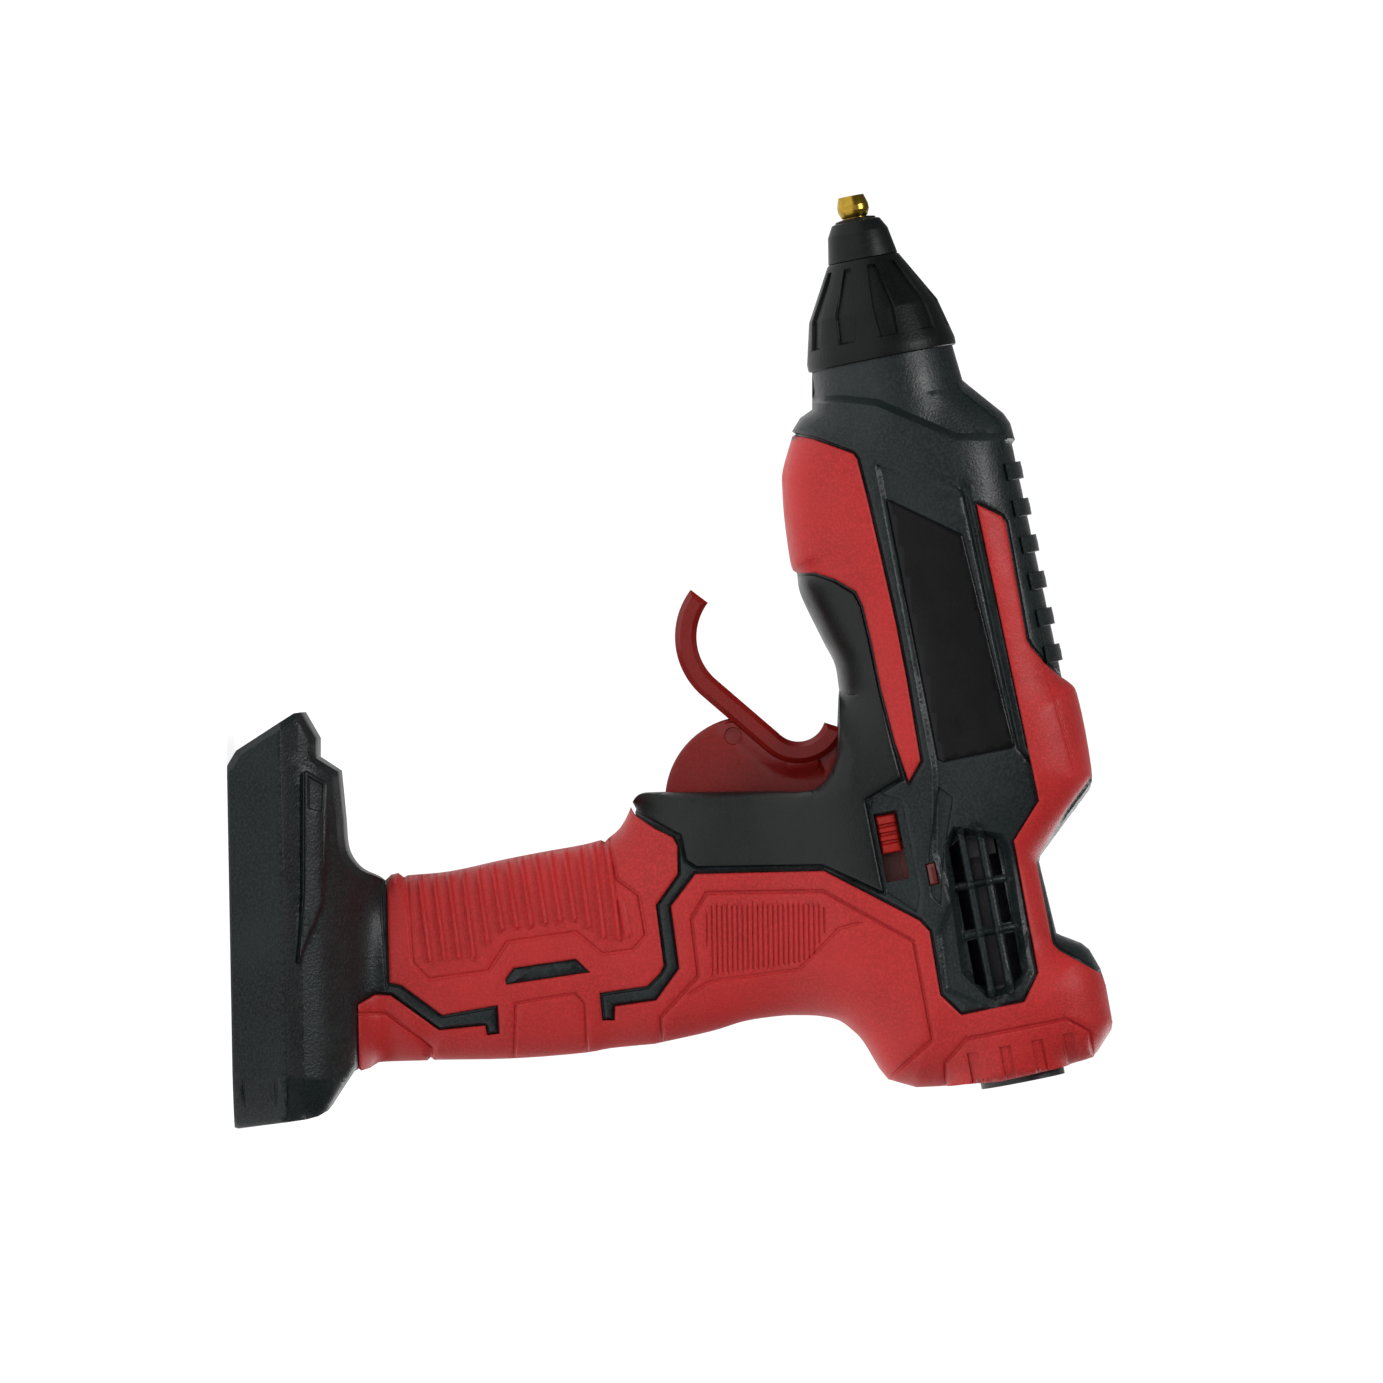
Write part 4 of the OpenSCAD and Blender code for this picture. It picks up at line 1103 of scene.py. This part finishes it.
# Name, material, slot, CAD node, rounding of the corners, and profile
for name, look, slot, node, corner, profile in (
        ("tip_sleeve", RUBBER, "tip", "tip_cap", 0.15, [
            (204.2, 5.2), (204.2, 6.1), (207.95, 6.1), (207.95, 8.8), (214.6, 7.6),
            (217.3, 6.1), (217.6, 5.2)]),
        ("seal_ring", RUBBER, "tip", "nozzle_seal", 0.3, [
            (212, 3.05), (212, 5.1), (218, 5.1), (218.4, 3.05)]),
        ("brass_nozzle", BRASS, "brass", "nozzle", 0.12, [
            (204, 2), (204, 3), (218.6, 3), (218.6, 3.3), (220.2, 3.95), (221.5, 3.95),
            (223.9, 3.25), (223.9, 1), (216, 1), (216, 2)])):
    place(turned(name, softened(profile, corner), look), node)

# ---- finishes of the inner pieces
METAL = {"metallic": 1}
# Name, colour, roughness, grain, bump, other settings, and CAD nodes
INNER_FINISHES = [
    ("switch_base", (110, 20, 12), 0.4, 1500, 0.15, {"shade": 0.1}, "switch_body"),
    ("steel", (176, 178, 180), 0.32, 1200, 0.15, {"metallic": 1, "shade": 0.08},
     "guide_rods jaw_pin trigger_pin"),
    ("dark_steel", (70, 72, 76), 0.38, 1200, 0.2, METAL, "case_screws"),
    ("spring_steel", (130, 133, 136), 0.3, 1600, 0.1, METAL, "return_springs"),
    ("aluminium", (188, 190, 192), 0.42, 700, 0.3, METAL, "melt_chamber"),
    ("contact_plate", (206, 172, 98), 0.26, 900, 0.08, METAL, "battery_contacts"),
    ("ceramic", (222, 216, 202), 0.7, 900, 0.3, {}, "heater_elements"),
    ("silicone", (192, 78, 44), 0.55, 900, 0.2, {}, "inlet_sleeve"),
    ("heat_board", (78, 74, 62), 0.7, 600, 0.4, {"shade": 0.25}, "chamber_mount rod_bracket"),
    ("nylon", (214, 208, 190), 0.45, 1200, 0.15, {}, "feed_carriage feed_jaw"),
    ("guide_black", (34, 37, 38), 0.45, 1500, 0.3, {"shade": 0.2}, "stick_guide terminal_block"),
    ("board_green", (30, 92, 52), 0.38, 500, 0.15, {"shade": 0.2}, "circuit_board"),
    ("led_white", (226, 224, 206), 0.3, 900, 0.05, {}, "status_led"),
    ("lead_red", (170, 30, 24), 0.45, 900, 0.1, {}, "battery_leads"),
    ("lead_sleeve", (214, 208, 194), 0.75, 1500, 0.5, {}, "heater_leads"),
]
for *looks, others, nodes in INNER_FINISHES:
    finish = material(*looks, **others)
    for node in nodes.split():
        for material_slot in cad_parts[node].material_slots:
            material_slot.material = finish

# ---- camera, floor and light
FRAME_WIDTH, DISTANCE, SENSOR = 0.34575, 4, 36
SUBJECT = (-0.02, 0, 0.12)
camera_data = bpy.data.cameras.new("camera")
camera_data.sensor_width = SENSOR
camera_data.lens = SENSOR * DISTANCE / FRAME_WIDTH
camera = add_object("camera", camera_data)
roll = math.asin(0.0181)  # the tool's back is not quite level in the picture
turn = Matrix(((-math.sin(roll), 0, math.cos(roll)), (math.cos(roll), 0, math.sin(roll)),
               (0, 1, 0))).transposed()
camera.matrix_world = Matrix.Translation((-0.0086, DISTANCE, 0.1154)) @ turn.to_4x4()
scene.camera = camera


def area_light(name, position, size, power):
    data = bpy.data.lights.new(name, "AREA")
    data.shape, data.size, data.energy = "DISK", size, power
    lamp = add_object(name, data)
    lamp.location = position
    aim = Vector(SUBJECT) - Vector(position)
    lamp.rotation_euler = aim.to_track_quat("-Z", "Y").to_euler()


area_light("key", (0.35, 0.65, 1.15), 0.35, 7.7)
area_light("front", (0.25, 1.4, 0.45), 0.6, 0.45)
area_light("back", (-0.5, -1.1, 0.9), 0.8, 6)

world = bpy.data.worlds.new("studio")
world.use_nodes = True
scene.world = world
sky_tree = world.node_tree
direction = add_node(sky_tree, "TexCoord").outputs["Generated"]
across = add_node(sky_tree, "SeparateXYZ", {"Vector": direction}).outputs["Y"]
# White behind the tool, and dim everywhere else
BACKDROP, AMBIENT, BACKDROP_FOCUS = 0.95, 0.12, 14


def computed(operation, *inputs):
    return add_node(sky_tree, "Math", dict(enumerate(inputs)), operation).outputs["Value"]


behind = computed("MAXIMUM", computed("MULTIPLY", across, -1), 0)
glow = computed("MULTIPLY_ADD", computed("POWER", behind, BACKDROP_FOCUS), BACKDROP, AMBIENT)
connect(sky_tree, sky_tree.nodes["Background"], {"Color": (1, 1, 1, 1), "Strength": glow})
scene.view_settings.view_transform = "Standard"

FLOOR_SIZE = 60  # half its width
floor_mesh = bpy.data.meshes.new("floor")
floor_mesh.from_pydata([(x * FLOOR_SIZE, y * FLOOR_SIZE, 0) for x, y in box(-1, -1, 1, 1)],
                       [], [(0, 1, 2, 3)])
floor = add_object("floor", floor_mesh)
FLOOR_WHITE = material("pale_floor", (176, 176, 176), 0.9, specular=0.1, shade=0.01)
floor_tree = FLOOR_WHITE.node_tree
floor_place = add_node(floor_tree, "TexCoord").outputs["Object"]
away = add_node(floor_tree, "VectorMath", {0: floor_place}, "LENGTH").outputs["Value"]
# The floor glows a little less round the tool, where the lights reach it
floor_glow = add_node(floor_tree, "MapRange", {"Value": away, "From Min": 0.3, "From Max": 1.5,
                                               "To Min": 0.88, "To Max": 1})
connect(floor_tree, floor_tree.nodes["Principled BSDF"],
        {"Emission Color": (1, 1, 1, 1), "Emission Strength": floor_glow.outputs["Result"]})
floor_mesh.materials.append(FLOOR_WHITE)
